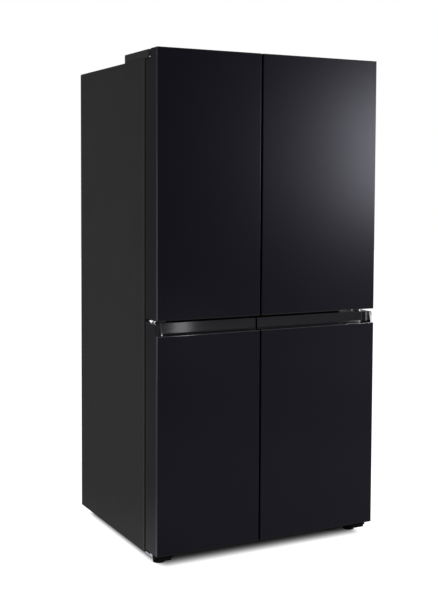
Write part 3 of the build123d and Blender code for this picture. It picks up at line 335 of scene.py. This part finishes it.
finishes = {
    "black_steel": paintedSheet("doorPaint", doorPaint),
    "case_paint": paintedSheet("casePaint", casePaint),
    "grip_metal": paintedSheet("gripPaint", gripPaint),
    "compressor_paint": paintedSheet("compressorPaint", compressorPaint),
    "black_plastic": mouldedPlastic("blackCap", blackCap),
    "cover_plastic": mouldedPlastic("coverCap", coverCap),
    "white_liner": mouldedPlastic("whiteLiner", whiteLiner),
    "duct_plastic": mouldedPlastic("ductWhite", ductWhite),
    "fan_plastic": mouldedPlastic("fanGrey", fanGrey),
    "roller_plastic": mouldedPlastic("rollerGrey", rollerGrey),
    "trim_plastic": mouldedPlastic("trimGrey", trimGrey),
    "panel_black": mouldedPlastic("panelBlack", panelBlack),
    "lamp_lens": mouldedPlastic("lampLens", lampLens),
    "clear_plastic": clearSheet("clearBin", clearBin),
    "shelf_glass": clearSheet("shelfPane", shelfPane),
    "zinc": bareMetal("zincPlate", zincPlate),
    "coil_metal": bareMetal("coilMetal", coilMetal),
    "motor_metal": bareMetal("motorMetal", motorMetal),
    "galvanised": spangledZinc("galvanised", galvanised),
    "seal": softSeal("sealVinyl", sealRubber),
    "mount_rubber": softSeal("mountRubber", sealRubber),
    "foam": bubbledFoam("foamFace", foamFace),
}
footPad = mouldedPlastic("footRubber", footRubber)
rimmed = mouldedPlastic("doorLiner", doorLiner)
ownFinishes = {  # the nodes whose finish isn't just their slot's
    **{f"{door}_liner": rimmed for door in doors},
    "left_foot": footPad,
    "right_foot": footPad,
    "bottom_hinges": noseHinge("noseHinge", zincPlate, noseDip),
}
slotOf = {part["node"]: part["material_slot"] for part in frame["record"]["subparts"]}
for name, node in nodes.items():
    node.data.materials.clear()
    node.data.materials.append(ownFinishes.get(name) or finishes[slotOf[name]])
print("finishes on every node")


# Quads between neighbouring points of a grid; either way may close on itself.
def gridFaces(rows, columns, closeRows=False, closeColumns=False):
    r = np.arange(rows if closeRows else rows - 1)
    c = np.arange(columns if closeColumns else columns - 1)
    r, c = (side.ravel() for side in np.meshgrid(r, c, indexing="ij"))
    below, beside = (r + 1) % rows, (c + 1) % columns
    around = [r * columns + c, r * columns + beside, below * columns + beside, below * columns + c]
    return np.stack(around, axis=1)


# Several (points, faces) pairs as one.
def joined(shapes):
    starts = np.cumsum([0] + [len(points) for points, faces in shapes])
    faces = [[i + start for i in face] for start, (points, listed) in zip(starts, shapes) for face in listed]
    return np.concatenate([points for points, listed in shapes]), faces


weld = {"distance": 0.000002, "smallest": 0.000001, "sharp": 40}  # the last in degrees
tightest = {"radius": 0.0004, "spare": 0.0006}  # of a corner, and what it keeps beyond its edge


# A mesh in place, welded, turned outwards, with its finish, its body and the nodes it stands for.
def makePiece(name, shape, finish, body, replaced=()):
    points, faces = shape
    mesh = bpy.data.meshes.new(name)
    mesh.from_pydata(np.asarray(points).tolist(), [], [list(map(int, face)) for face in faces])
    work = bmesh.new()
    work.from_mesh(mesh)
    bmesh.ops.remove_doubles(work, verts=work.verts, dist=weld["distance"])
    bmesh.ops.dissolve_degenerate(work, edges=work.edges, dist=weld["smallest"])
    bmesh.ops.recalc_face_normals(work, faces=work.faces)
    work.to_mesh(mesh)
    work.free()
    mesh.shade_smooth()
    mesh.set_sharp_from_angle(angle=radians(weld["sharp"]))
    piece = bpy.data.objects.new(name, mesh)
    bpy.context.scene.collection.objects.link(piece)
    mesh.materials.append(finishes[finish])
    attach(piece, body)
    if replaced:
        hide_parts(*replaced)


# Rings round rectangles with rounded corners, one for each inset. A point is its corner's centre
# plus the corner's radius times (cos a, sin a), with a over a quarter turn at each corner.
def roundedRings(insets, halfA, halfB, radii, steps=6):
    insets = np.atleast_1d(np.asarray(insets, float))[:, None]
    corner = np.repeat(np.arange(4), steps + 1)
    turn = (corner + np.tile(np.linspace(0, 1, steps + 1), 4)) * tau / 4
    radius = np.maximum(np.asarray(radii, float)[corner] - insets, tightest["radius"])
    sideA, sideB = np.array([1, -1, -1, 1])[corner], np.array([1, 1, -1, -1])[corner]
    a = sideA * (halfA - insets - radius) + radius * np.cos(turn)
    b = sideB * (halfB - insets - radius) + radius * np.sin(turn)
    return a, b


# A shell of rings stacked along an axis: each ring has an inset and a height, and both ends are capped.
def stacked(low, high, along, profile, radii):
    low, high = np.asarray(low, float), np.asarray(high, float)
    across = [axis for axis in range(3) if axis != along]
    insets, heights = np.asarray(profile, float).T
    middle, half = (low + high) / 2, (high - low) / 2
    a, b = roundedRings(insets, half[across[0]], half[across[1]], radii)
    points = np.empty(a.shape + (3,))
    points[..., across[0]] = middle[across[0]] + a
    points[..., across[1]] = middle[across[1]] + b
    points[..., along] = (low[along] + heights)[:, None]
    rows, columns = a.shape
    faces = gridFaces(rows, columns, closeColumns=True).tolist()
    last = (rows - 1) * columns
    faces += [list(range(columns)), list(range(last, last + columns))]
    return points.reshape(-1, 3), faces


# A block whose edges are all rounded: the end rings draw in along a quarter circle.
def softBlock(low, high, along, edge, corners=None, steps=4):
    length = high[along] - low[along]
    turn = np.linspace(0, tau / 4, steps + 1)
    start = np.stack([edge * (1 - np.sin(turn)), edge * (1 - np.cos(turn))], axis=1)
    end = np.stack([start[::-1, 0], length - start[::-1, 1]], axis=1)
    corners = corners or [edge + tightest["spare"]] * 4
    return stacked(low, high, along, np.concatenate([start, end]), corners)


# An open tub: outer floor, rounded foot, drafted wall, rolled rim, then the inner wall down to the floor.
def tub(low, high, wall, corners, foot=0.006, draft=0.004):
    tall = high[2] - low[2]
    turn = np.linspace(0, tau / 4, 6)
    lean = np.linspace(1, 0, 6)
    outer = np.stack([draft + foot * (1 - np.sin(turn)), foot * (1 - np.cos(turn))], axis=1)
    up = np.stack([draft * lean, foot + (tall - foot - wall) * (1 - lean)], axis=1)
    roll = np.linspace(0, tau / 2, 9)
    rim = np.stack([wall * (1 - np.cos(roll)) / 2, tall - wall + wall * np.sin(roll)], axis=1)
    down = up[::-1] + [wall, 0]
    inner = outer[::-1] + [wall, wall]
    down[:, 1] = np.maximum(down[:, 1], foot + wall)
    return stacked(low, high, 2, np.concatenate([outer, up, rim, down, inner]), corners)


# A closed sheet between a front and a back grid of points, with a strip round the edge.
def closedSheet(front, back):
    rows, columns = front.shape[:2]
    count = rows * columns
    faces = gridFaces(rows, columns)
    index = np.arange(count).reshape(rows, columns)
    edge = np.concatenate([index[0, :-1], index[:-1, -1], index[-1, :0:-1], index[:0:-1, 0]])
    strip = np.stack([edge, np.roll(edge, -1), np.roll(edge, -1) + count, edge + count], axis=1)
    points = np.concatenate([front.reshape(-1, 3), back.reshape(-1, 3)])
    return points, np.concatenate([faces[:, ::-1], faces + count, strip]).tolist()


# A solid of revolution: each (radius, height) of the profile goes round the axis at a centre.
def turned(profile, centre, axis, columns=40):
    radius, height = np.asarray(profile, float).T
    turn = np.arange(columns) * tau / columns
    axis = np.asarray(axis, float)
    first = np.cross(axis, [0.3, 0.5, 0.81])
    first /= np.linalg.norm(first)
    second = np.cross(axis, first)
    ring = np.cos(turn)[:, None] * first + np.sin(turn)[:, None] * second
    points = np.asarray(centre) + radius[:, None, None] * ring + (height[:, None] * axis)[:, None, :]
    return points.reshape(-1, 3), gridFaces(len(radius), columns, closeColumns=True).tolist()


# A tube round a line: at each point a ring in the plane across the line, its first axis square to
# one slanting guide, and a low cone that closes each end.
def pipe(line, radius, columns=12, point=0.3):
    way = np.gradient(line, axis=0)
    way /= np.linalg.norm(way, axis=1)[:, None]
    first = np.cross(way, [0.31, 0.52, 0.795])
    first /= np.linalg.norm(first, axis=1)[:, None]
    second = np.cross(way, first)
    first, second = (np.concatenate([v[:1], v, v[-1:]])[:, None] for v in (first, second))
    size = np.concatenate([[0], np.full(len(line), radius), [0]])
    cone = way * radius * point
    line = np.concatenate([line[:1] - cone[:1], line, line[-1:] + cone[-1:]])
    turn = (np.arange(columns) * tau / columns)[None, :, None]
    points = line[:, None] + size[:, None, None] * (np.cos(turn) * first + np.sin(turn) * second)
    return points.reshape(-1, 3), gridFaces(len(line), columns, closeColumns=True).tolist()


# Rises from nought at start to one at end, level at both.
def smoothStep(value, start, end):
    share = np.clip((value - start) / (end - start), 0, 1)
    return share**2 * (3 - 2 * share)


seal = {
    "width": 0.016,
    "corner": 0.012,
    "waist": 0.0026,
    "folds": (0, 0, 0.35, 0.9, 1.0, 0.55, 1.0, 0.9, 0.35, 0, 0, 0.15),  # shares of the waist
    "depths": (0, 0.16, 0.22, 0.28, 0.36, 0.46, 0.56, 0.64, 0.7, 0.76, 0.97, 1.0),  # shares of the depth
}


# A bellows section carried round a rounded rectangle: the section's points are insets and depths.
def makeSeals():
    side = np.array(seal["folds"]) * seal["waist"]
    insets = np.concatenate([side, (seal["width"] - side)[::-1]])
    for door in doors:
        low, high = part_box(f"{door}_gasket")
        depths = np.array(seal["depths"]) * (high.y - low.y)
        a, b = roundedRings(insets, (high.x - low.x) / 2, (high.z - low.z) / 2, [seal["corner"]] * 4, 8)
        points = np.empty(a.shape + (3,))
        points[..., 0] = (low.x + high.x) / 2 + a
        points[..., 1] = (low.y + np.concatenate([depths, depths[::-1]]))[:, None]
        points[..., 2] = (low.z + high.z) / 2 + b
        shape = points.reshape(-1, 3), gridFaces(*a.shape, closeRows=True, closeColumns=True)
        makePiece(f"{door}_bellowsSeal", shape, "seal", f"{door}_door", [f"{door}_gasket"])


makeSeals()
print("door seals in place")


bins = {
    "count": 4,
    "tall": 0.092,
    "dairyTall": 0.066,
    "wall": 0.0025,
    "corners": (0.024, 0.024, 0.008, 0.008),
}


# Four tubs on each upper door, evenly spaced; the topmost right one is the shallower dairy bin.
def makeBins():
    for door in upperDoors:
        low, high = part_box(f"{door}_bins")
        last = bins["dairyTall"] if door == "upper_right" else bins["tall"]
        floors = np.linspace(low.z, high.z - last, bins["count"])
        shapes = []
        for number, floor in enumerate(floors):
            tall = last if number == bins["count"] - 1 else bins["tall"]
            start, end = (low.x, low.y, floor), (high.x, high.y, floor + tall)
            shapes.append(tub(start, end, bins["wall"], bins["corners"]))
        makePiece(f"{door}_mouldedBins", joined(shapes), "clear_plastic", f"{door}_door", [f"{door}_bins"])


drawer = {
    "levels": ((0.097, 0.318, 0.078), (0.345, 0.5615, 0.283), (0.5815, 0.798, 0.283)),  # floor, rim, back
    "corners": (0.014, 0.014, 0.004, 0.004),
    "wall": 0.0025,
    "front": 0.009,
    "inner": 0.011,  # tub walls inside the compartment's walls
    "outset": 0.001,
    "gap": 0.002,
    "rimDrop": 0.008,
    "flangeEnds": (0.006, 0.014),
    "flangeEdge": 0.001,
    "edgeRoll": 0.003,
    "gripDepth": 0.005,
    "gripShare": 0.25,  # half the grip's width in the front's
    "gripSide": (-0.004, 0.006),
    "gripFoot": (0.044, 0.036),  # below the rim
    "gripHead": (0.014, 0.018),
}


# A front board: a grid in (x, z) whose face dips into a grip by smooth steps multiplied together,
# and rolls back along its edges by a quarter circle.
def drawerFront(x0, x1, z0, z1, y0, y1):
    x, z = np.meshgrid(np.linspace(x0, x1, 61), np.linspace(z0, z1, 41), indexing="ij")
    aside = (x1 - x0) * drawer["gripShare"] - abs(x - (x0 + x1) / 2)
    dip = smoothStep(aside, *drawer["gripSide"])
    for start, end in (drawer["gripFoot"], drawer["gripHead"]):
        dip = dip * smoothStep(z, z1 - start, z1 - end)
    rim = np.minimum.reduce([x - x0, x1 - x, z - z0, z1 - z])
    edge = drawer["edgeRoll"]
    roll = edge - np.sqrt(np.maximum(edge**2 - np.maximum(edge - rim, 0) ** 2, 0))
    face = np.stack([x, y0 + roll + drawer["gripDepth"] * dip, z], axis=-1)
    return closedSheet(face, np.stack([x, np.full_like(x, y1), z], axis=-1))


# Each drawer is a tub behind a front board, with a flange along each side that runs on the ledges.
def makeDrawers():
    gap, out, edge = drawer["gap"], drawer["outset"], drawer["flangeEdge"]
    for node in ("freezer_drawers", "crisper_drawers"):
        low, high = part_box(node)
        x0, x1, y0 = low.x - out, high.x + out, low.y + drawer["front"]
        left, right = x0 + drawer["inner"], x1 - drawer["inner"]
        shapes = []
        for floor, rim, back in drawer["levels"]:
            shapes.append(tub((left, y0, floor), (right, back, rim), drawer["wall"], drawer["corners"]))
            under = rim - drawer["rimDrop"]
            front, rear = y0 + drawer["flangeEnds"][0], back - drawer["flangeEnds"][1]
            for start, end in ((x0 + out, left + out), (right - out, x1 - out)):
                shapes.append(softBlock((start, front, under), (end, rear, under + drawer["wall"]), 1, edge))
            shapes.append(drawerFront(x0 + gap, x1 - gap, floor - gap, rim + gap, low.y, y0))
        makePiece(f"{node}_moulded", joined(shapes), "clear_plastic", "cabinet", [node])


pan = {"wall": 0.002, "corner": 0.010}


# The pan under the machine's coil is one shallow tub.
def makePan():
    low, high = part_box("drain_pan")
    shape = tub(low, high, pan["wall"], [pan["corner"]] * 4)
    makePiece("mouldedDrainPan", shape, "fan_plastic", "cabinet", ["drain_pan"])


makeBins()
makeDrawers()
makePan()
print("bins, drawers and pan moulded")


coil = {
    "fin": 0.0004,
    "wave": 0.0008,
    "waves": 5,
    "tube": 0.004,
    "levels": 4,
    "rows": (0.27, 0.73),  # where the tubes stand, in shares of the depth
    "plate": 0.0012,
    "bendRoom": 0.008,
    "finRoom": 0.003,
    "foot": {"condenser": 0.078, "evaporator": 0.950},
    "pitch": {"condenser": 0.0045, "evaporator": 0.006},
}


# A fin is a thin upright sheet that waves from front to back: x = x0 + wave * sin(2 pi waves t).
def finSheet(x0, low, high, foot, thick, wave):
    t, z = np.meshgrid(np.linspace(0, 1, 21), [foot, high.z], indexing="ij")
    x = x0 + wave * np.sin(tau * coil["waves"] * t)
    y = low.y + (high.y - low.y) * t
    return closedSheet(np.stack([x, y, z], axis=-1), np.stack([x + thick, y, z], axis=-1))


# A tube's line runs to and fro, a half circle joining each level to the next.
def serpentine(x0, x1, y, z0, pitch, levels):
    level = np.repeat(np.arange(levels), 2)
    right = np.tile([0, 1, 1, 0], levels)[: 2 * levels]
    runs = np.stack([np.where(right, x1, x0), np.full(2 * levels, y), z0 + pitch * level], axis=1)
    turn = np.linspace(-tau / 4, tau / 4, 12)[1:-1]
    parts = []
    for number in range(levels):
        start, end = runs[2 * number], runs[2 * number + 1]
        parts.append(start + (end - start) * np.linspace(0, 1, 8)[:, None])
        if number < levels - 1:
            out = 1 if number % 2 == 0 else -1
            bend = np.stack([out * np.cos(turn), 0 * turn, 1 + np.sin(turn)], axis=1)
            parts.append(end + bend * pitch / 2)
    return np.concatenate(parts)


# Fins stand side by side between two end plates, and rows of tube run through them.
def makeCoil(node):
    low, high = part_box(node)
    foot, levels, room = coil["foot"][node], coil["levels"], coil["bendRoom"]
    step = (high.z - foot) / levels
    reach = room + coil["tube"] + step / 2
    x0, x1 = low.x + reach, high.x - reach
    count = int(round((x1 - x0) / coil["pitch"][node])) + 1
    across = np.linspace(x0 + coil["finRoom"], x1 - coil["finRoom"], count)
    shapes = [finSheet(x, low, high, foot, coil["fin"], coil["wave"]) for x in across]
    shapes += [finSheet(x, low, high, low.z, coil["plate"], 0) for x in (x0, x1 - coil["plate"])]
    for share in coil["rows"]:
        y = low.y + (high.y - low.y) * share
        line = serpentine(x0 - room, x1 + room, y, foot + step / 2, step, levels)
        shapes.append(pipe(line, coil["tube"]))
    makePiece(f"{node}Coil", joined(shapes), "coil_metal", "cabinet", [node])


for node in coil["foot"]:
    makeCoil(node)
print("coils finned")


fans = {
    "condenser_fan": {"axis": (-1, 0, 0), "depth": 0.024, "radius": 0.076, "chord": (0.022, 0.044)},
    "evaporator_fan": {"axis": (0, -1, 0), "depth": 0.018, "radius": 0.056, "chord": (0.017, 0.034)},
}
wheel = {
    "hub": 0.020,
    "bore": 0.00305,
    "hubWall": 0.002,
    "nose": 0.005,  # the radius of the hub's rounded nose
    "boreFloor": 0.004,  # how far below the nose the bore ends
    "sleeve": 0.003,  # the wall round the bore
    "web": 0.006,  # how far below the nose the cup's hollow ends
    "blades": 5,
    "pitch": (35, 62),  # degrees, at the root and at the tip
    "sweep": 0.32,
    "tipTaper": 0.45,
    "camber": 0.0022,
    "thick": 0.0018,
    "edgeShare": 0.35,  # of the thickness that is left at a blade's edges
}


# A blade point at share u out and share v along the chord: its turn about the axis is the sweep
# times u squared plus the chord across the axis over the radius, and its height the chord along it.
def bladeSheet(look, number, centre, axis, first, second):
    u, v = np.meshgrid(np.linspace(0, 1, 17), np.linspace(0, 1, 15), indexing="ij")
    root, (low, high) = wheel["hub"] - wheel["hubWall"], look["chord"]
    radius = root + (look["radius"] - root) * u
    chord = (low + (high - low) * u) * (1 - wheel["tipTaper"] * u**8)
    pitch = np.radians(wheel["pitch"][0] + (wheel["pitch"][1] - wheel["pitch"][0]) * u)
    along = (v - 0.5) * chord
    camber = wheel["camber"] * np.sin(np.pi * v)
    share = wheel["edgeShare"]
    thick = wheel["thick"] * (share + (1 - share) * np.sin(np.pi * v)) / 2
    across = along * np.sin(pitch) - camber * np.cos(pitch)
    height = along * np.cos(pitch) + camber * np.sin(pitch)
    turn = tau * number / wheel["blades"] + wheel["sweep"] * u**2 + across / radius
    ring = np.cos(turn)[..., None] * first + np.sin(turn)[..., None] * second
    spot = lambda lift: centre + radius[..., None] * ring + (height + lift)[..., None] * axis
    return closedSheet(spot(thick), spot(-thick))


# The blades round a hub, which is a cup turned about the axis with a rounded nose.
def makeFan(node):
    look = fans[node]
    low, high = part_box(node)
    axis = np.array(look["axis"], float)
    centre = (np.array(low) + np.array(high)) / 2
    first = np.array([0, 0, 1.0])
    second = np.cross(axis, first)
    shapes = [bladeSheet(look, number, centre, axis, first, second) for number in range(wheel["blades"])]
    hub, bore, nose, deep = wheel["hub"], wheel["bore"], wheel["nose"], look["depth"] / 2
    inner, sleeve = hub - wheel["hubWall"], bore + wheel["sleeve"]
    floor, web = deep - wheel["boreFloor"], deep - wheel["web"]
    turn = np.linspace(0, tau / 4, 7)
    cap = np.stack([hub - nose + nose * np.cos(turn), deep - nose + nose * np.sin(turn)], axis=1)
    cup = [(0.0, floor), (bore, floor), (bore, -deep), (sleeve, -deep)]
    cup += [(sleeve, web), (inner, web), (inner, -deep), (hub, -deep)]
    shapes.append(turned(cup + cap.tolist() + [(0.0, deep)], centre, axis))
    makePiece(f"{node}Wheel", joined(shapes), "fan_plastic", node, [node])


for node in fans:
    makeFan(node)
print("fan wheels bladed")


shell = {
    "at": (-0.215, 0.250),
    "bottom": 0.052,
    "top": 0.236,
    "radius": 0.075,
    "bulge": 2.6,
    "seam": {"radius": 0.080, "half": 0.005, "root": 0.0755, "bevel": 0.001, "groove": (0.0014, 0.0006)},
    "plate": {"half": (0.100, 0.075), "thick": 0.004, "corner": 0.016, "edge": 0.0015},
    "relay": {
        "half": 0.028, "depth": (0.055, 0.087), "height": (0.010, 0.054), "corner": 0.007, "edge": 0.005,
    },
    "stubs": {"reach": (0.05, 0.101), "spots": ((0.020, 0.030), (0.030, -0.030)), "radius": 0.004},
}


# The shell's radius at height z is R (1 - |t|^n)^(1/n), with t from -1 to 1 between its poles, and
# a rolled weld seam stands out at the waist. A base plate, a relay box and two stubs go with it.
def makeCompressor():
    cx, cy = shell["at"]
    middle, half = (shell["bottom"] + shell["top"]) / 2, (shell["top"] - shell["bottom"]) / 2
    t = np.sin(np.linspace(-tau / 4, tau / 4, 61))
    radius = shell["radius"] * np.maximum(1 - np.abs(t) ** shell["bulge"], 0) ** (1 / shell["bulge"])
    body = np.stack([radius, half * t], axis=1)
    s, w, root, bevel = (shell["seam"][key] for key in ("radius", "half", "root", "bevel"))
    deep, edge = shell["seam"]["groove"]
    lip = [(root, -w), (s - bevel, -w), (s, -w + bevel), (s, -edge), (s - deep, 0)]
    lip += [(s, edge), (s, w - bevel), (s - bevel, w), (root, w)]
    below, above = body[body[:, 1] < -w - bevel], body[body[:, 1] > w + bevel]
    can = turned(np.concatenate([below, lip, above]), (cx, cy, middle), (0, 0, 1), 64)
    plate, relay, stubs = shell["plate"], shell["relay"], shell["stubs"]
    a, b = plate["half"]
    low, high = (cx - a, cy - b, shell["bottom"] - plate["thick"]), (cx + a, cy + b, shell["bottom"])
    base = softBlock(low, high, 2, plate["edge"], [plate["corner"]] * 4)
    low = (cx - relay["half"], cy + relay["depth"][0], middle + relay["height"][0])
    high = (cx + relay["half"], cy + relay["depth"][1], middle + relay["height"][1])
    box = softBlock(low, high, 1, relay["edge"], [relay["corner"]] * 4)
    makePiece("compressorShell", joined([can, base, box]), "compressor_paint", "cabinet", ["compressor"])
    pipes = []
    for y, z in stubs["spots"]:
        ends = [(cx + reach, cy + y, middle + z) for reach in stubs["reach"]]
        pipes.append(pipe(np.array(ends), stubs["radius"]))
    makePiece("compressorStubs", joined(pipes), "coil_metal", "cabinet")


makeCompressor()
print("compressor in place")


screws = {
    "radius": 0.0045,
    "height": 0.0022,
    "rimShare": 0.35,  # of the height that is left at the head's rim
    "slot": 0.0008,
    "slotReach": 0.0028,
    "slotDepth": 0.0013,
    "panel": {"x": (-0.438, 0.438), "z": np.linspace(0.33, 1.72, 7)},
    "cover": {"x": (-0.436, -0.14, 0.14, 0.436), "z": (0.048, 0.276)},
}


# A pan head: height H (1 - (r/R)^4)^(1/2) above a rim, less a cross that is cut where either
# coordinate is within the slot's half width and the other within its reach.
def screwHead(at, out):
    out = np.asarray(out, float)
    first = np.cross(out, [0.0, 0.0, 1.0])
    second = np.cross(out, first)
    line = np.linspace(-1, 1, 29) * screws["radius"]
    a, b = np.meshgrid(line, line, indexing="ij")
    square = np.maximum(np.maximum(abs(a), abs(b)), 1e-9)
    scale = square / np.maximum(np.hypot(a, b), 1e-9)  # squeezes the square grid into a disc
    a, b = a * scale, b * scale
    r = np.hypot(a, b) / screws["radius"]
    share = screws["rimShare"]
    h = screws["height"] * (share + (1 - share) * np.sqrt(np.maximum(1 - r**4, 0)))
    inside = lambda p, q: (abs(p) < screws["slot"]) & (abs(q) < screws["slotReach"])
    h = h - screws["slotDepth"] * (inside(a, b) | inside(b, a))
    place = lambda lift: np.asarray(at) + a[..., None] * first + b[..., None] * second + lift[..., None] * out
    return closedSheet(place(h), place(np.zeros_like(h)))


# Rows of screws on the rear faces of the back panel and the machine cover.
def makeScrews():
    rows = (
        ("backPanelScrews", "back_panel", screws["panel"]),
        ("machineCoverScrews", "machine_cover", screws["cover"]),
    )
    for name, node, spots in rows:
        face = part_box(node)[1].y
        heads = [screwHead((x, face, z), (0, 1, 0)) for x in spots["x"] for z in spots["z"]]
        makePiece(name, joined(heads), "zinc", "cabinet")


makeScrews()
print("screws driven")


marks = {
    "dot": 0.0016,
    "dotFlat": 0.8,  # of its radius, before the edge slopes down
    "dots": 5,
    "pitch": 0.0084,
    "dotRow": -0.008,  # before the panel's middle
    "ring": 0.005,
    "ringWidth": 0.0005,
    "ringRow": 0.009,
    "aside": 0.03,
    "lift": 0.0003,
}


# Round lamps in two rows of five and two rings round touch spots, all a hair proud of the panel.
def makeMarks():
    low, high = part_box("control_panel")
    x, y, z = (low.x + high.x) / 2, (low.y + high.y) / 2, low.z
    r, ring, lift = marks["dot"], marks["ring"], marks["lift"]
    rim = ring + marks["ringWidth"]
    lamp = [(0, lift), (r * marks["dotFlat"], lift), (r, 0), (r, -lift), (0, -lift)]
    touch = [(ring, -lift), (ring, lift), (rim, lift), (rim, -lift), (ring, -lift)]
    shapes = []
    for middle in (x - marks["aside"], x + marks["aside"]):
        for number in range(marks["dots"]):
            spot = (middle + (number - (marks["dots"] - 1) / 2) * marks["pitch"], y + marks["dotRow"], z)
            shapes.append(turned(lamp, spot, (0, 0, -1), 20))
        shapes.append(turned(touch, (middle, y + marks["ringRow"], z), (0, 0, -1), 32))
    makePiece("panelMarks", joined(shapes), "lamp_lens", "cabinet")


makeMarks()
print("panel marked")


room = {
    "floor": 14.0,  # half its width
    "floorColour": 0.82,
    "floorRough": 0.9,
    "floorSpecular": 0.1,
    "pool": (0.55, -1.0, 0),  # where gloss sees the floor brightest
    "reach": (0.5, 2.2),  # how far from there it starts to fade, and has faded
    "poolShine": 1.2,
    "farShine": 0.23,
    "backdrop": 1.0,  # the world to the camera and through glass
    "shine": 0.35,  # the world in gloss
    "world": 0.15,  # the world as light
}
# The painted shadow on the floor under the object: its reach on each side and how dark it gets.
shade = {  # under the object, each edge from clear to dark
    "side": (0.44, 0.385),
    "front": (-0.375, -0.235),
    "back": (0.37, 0.30),
    "power": 2.5,
    "darkest": 0.05,
}


# A wide pale floor, white to the camera and bright in gloss near its pool. Under the object it has a painted
# shadow:
# both its glow and its paper colour fade there, and clear is (1 - side * front * back) to a power.
def layFloor():
    half = room["floor"]
    corners = [(-half, -half, 0), (half, -half, 0), (half, half, 0), (-half, half, 0)]
    mesh = bpy.data.meshes.new("floor")
    mesh.from_pydata(corners, [], [(0, 1, 2, 3)])
    floor = bpy.data.objects.new("floor", mesh)
    bpy.context.scene.collection.objects.link(floor)
    material, tree, shader, where = startMaterial("floorPaper")
    mottle(tree, where, shader, [room["floorColour"]] * 3, spread=0.004, patch=0.5)
    shader.inputs["Roughness"].default_value = room["floorRough"]
    shader.inputs["Specular IOR Level"].default_value = room["floorSpecular"]
    shader.inputs["Emission Color"].default_value = (1, 1, 1, 1)
    path = addNode(tree, "ShaderNodeLightPath")
    far = addNode(tree, "ShaderNodeVectorMath", {"operation": "DISTANCE"})
    far.inputs[1].default_value = room["pool"]
    tree.links.new(where, far.inputs[0])
    shines = room["poolShine"], room["farShine"]
    shine = ramp(tree, far.outputs["Value"], *room["reach"], *shines, kind="SMOOTHSTEP")
    mirrored = maths(tree, "MULTIPLY", shine, path.outputs["Is Glossy Ray"])
    seen = maths(tree, "MAXIMUM", path.outputs["Is Camera Ray"], mirrored)
    place = ownPlace(tree)
    cover = ramp(tree, maths(tree, "ABSOLUTE", place["X"]), *shade["side"], kind="SMOOTHSTEP")
    for edge in ("front", "back"):
        along = ramp(tree, place["Y"], *shade[edge], kind="SMOOTHSTEP")
        cover = maths(tree, "MULTIPLY", cover, along)
    clear = maths(tree, "POWER", maths(tree, "SUBTRACT", 1.0, cover), shade["power"])
    # Painted shadow: under the object the glow fades and the paper's colour darkens to the darkest.
    tree.links.new(maths(tree, "MULTIPLY", clear, seen), shader.inputs["Emission Strength"])
    coverColour(tree, shader, maths(tree, "SUBTRACT", 1.0, clear), [shade["darkest"]] * 3)
    mesh.materials.append(material)


# The backdrop is white to the camera and through glass, dimmer in gloss, and a soft light to the rest.
def lightWorld():
    world = bpy.data.worlds.new("room")
    bpy.context.scene.world = world
    world.use_nodes = True
    tree = world.node_tree
    background = tree.nodes["Background"]
    path = addNode(tree, "ShaderNodeLightPath")
    seen = maths(tree, "MAXIMUM", path.outputs["Is Camera Ray"], path.outputs["Is Transmission Ray"])
    unseen = ramp(tree, path.outputs["Is Glossy Ray"], low=room["world"], high=room["shine"])
    level = addNode(tree, "ShaderNodeMix", {"data_type": "FLOAT"}, B=room["backdrop"])
    tree.links.new(seen, level.inputs["Factor"])
    tree.links.new(unseen, level.inputs["A"])
    tree.links.new(level.outputs["Result"], background.inputs["Strength"])
    background.inputs["Color"].default_value = (1, 1, 1, 1)


softboxes = {
    "keyBox": {"at": (4.2, -4.5, 1.66), "aim": (0.3, -0.3, 1.4), "size": (1.4, 1.05), "power": 300},
    "gripStrip": {"at": (1.22, -3.55, 0.35), "aim": (-0.36, -0.33, 0.83), "size": (0.1, 0.22), "power": 0.9},
    "cornerBox": {"at": (-3.3, -3.0, 0.28), "aim": (0.4, -0.3, 0.83), "size": (2.2, 0.4), "power": 22},
    "leftBox": {"at": (-4.4, 0.4, 0.65), "aim": (-0.4, 0.1, 0.3), "size": (2.6, 1.6), "power": 66},
}


# Soft rectangular lamps, each aimed at a point.
def hangSoftboxes():
    for name, box in softboxes.items():
        light = bpy.data.lights.new(name, "AREA")
        light.shape = "RECTANGLE"
        light.size, light.size_y = box["size"]
        light.energy = box["power"]
        lamp = bpy.data.objects.new(name, light)
        lamp.location = box["at"]
        lamp.rotation_euler = (Vector(box["aim"]) - Vector(box["at"])).to_track_quat("-Z", "Y").to_euler()
        bpy.context.scene.collection.objects.link(lamp)


view = {
    "at": (-1.9385, -3.617, 1.3291),
    "yaw": 27.122,
    "pitch": -3.283,
    "roll": 0.215,
    "lens": 63.5,
    "shift": (0.0252, -0.0915),
    "far": 60,
}


# The camera stands to the left of the doors and looks right and slightly down.
def placeCamera():
    yaw, pitch, roll = (radians(view[key]) for key in ("yaw", "pitch", "roll"))
    ahead = Vector((sin(yaw) * cos(pitch), cos(yaw) * cos(pitch), sin(pitch)))
    level = Vector((cos(yaw), -sin(yaw), 0))
    up = level.cross(ahead)
    across = level * cos(roll) + up * sin(roll)
    upright = up * cos(roll) - level * sin(roll)
    lens = bpy.data.cameras.new("camera")
    lens.lens = view["lens"]
    lens.shift_x, lens.shift_y = view["shift"]
    lens.clip_end = view["far"]
    camera = bpy.data.objects.new("camera", lens)
    axes = Matrix((across, upright, -ahead)).transposed().to_4x4()
    camera.matrix_world = Matrix.Translation(view["at"]) @ axes
    bpy.context.scene.collection.objects.link(camera)
    bpy.context.scene.camera = camera


layFloor()
lightWorld()
hangSoftboxes()
placeCamera()
bpy.context.scene.view_settings.view_transform = "Standard"
print("room, lamps and camera in place")
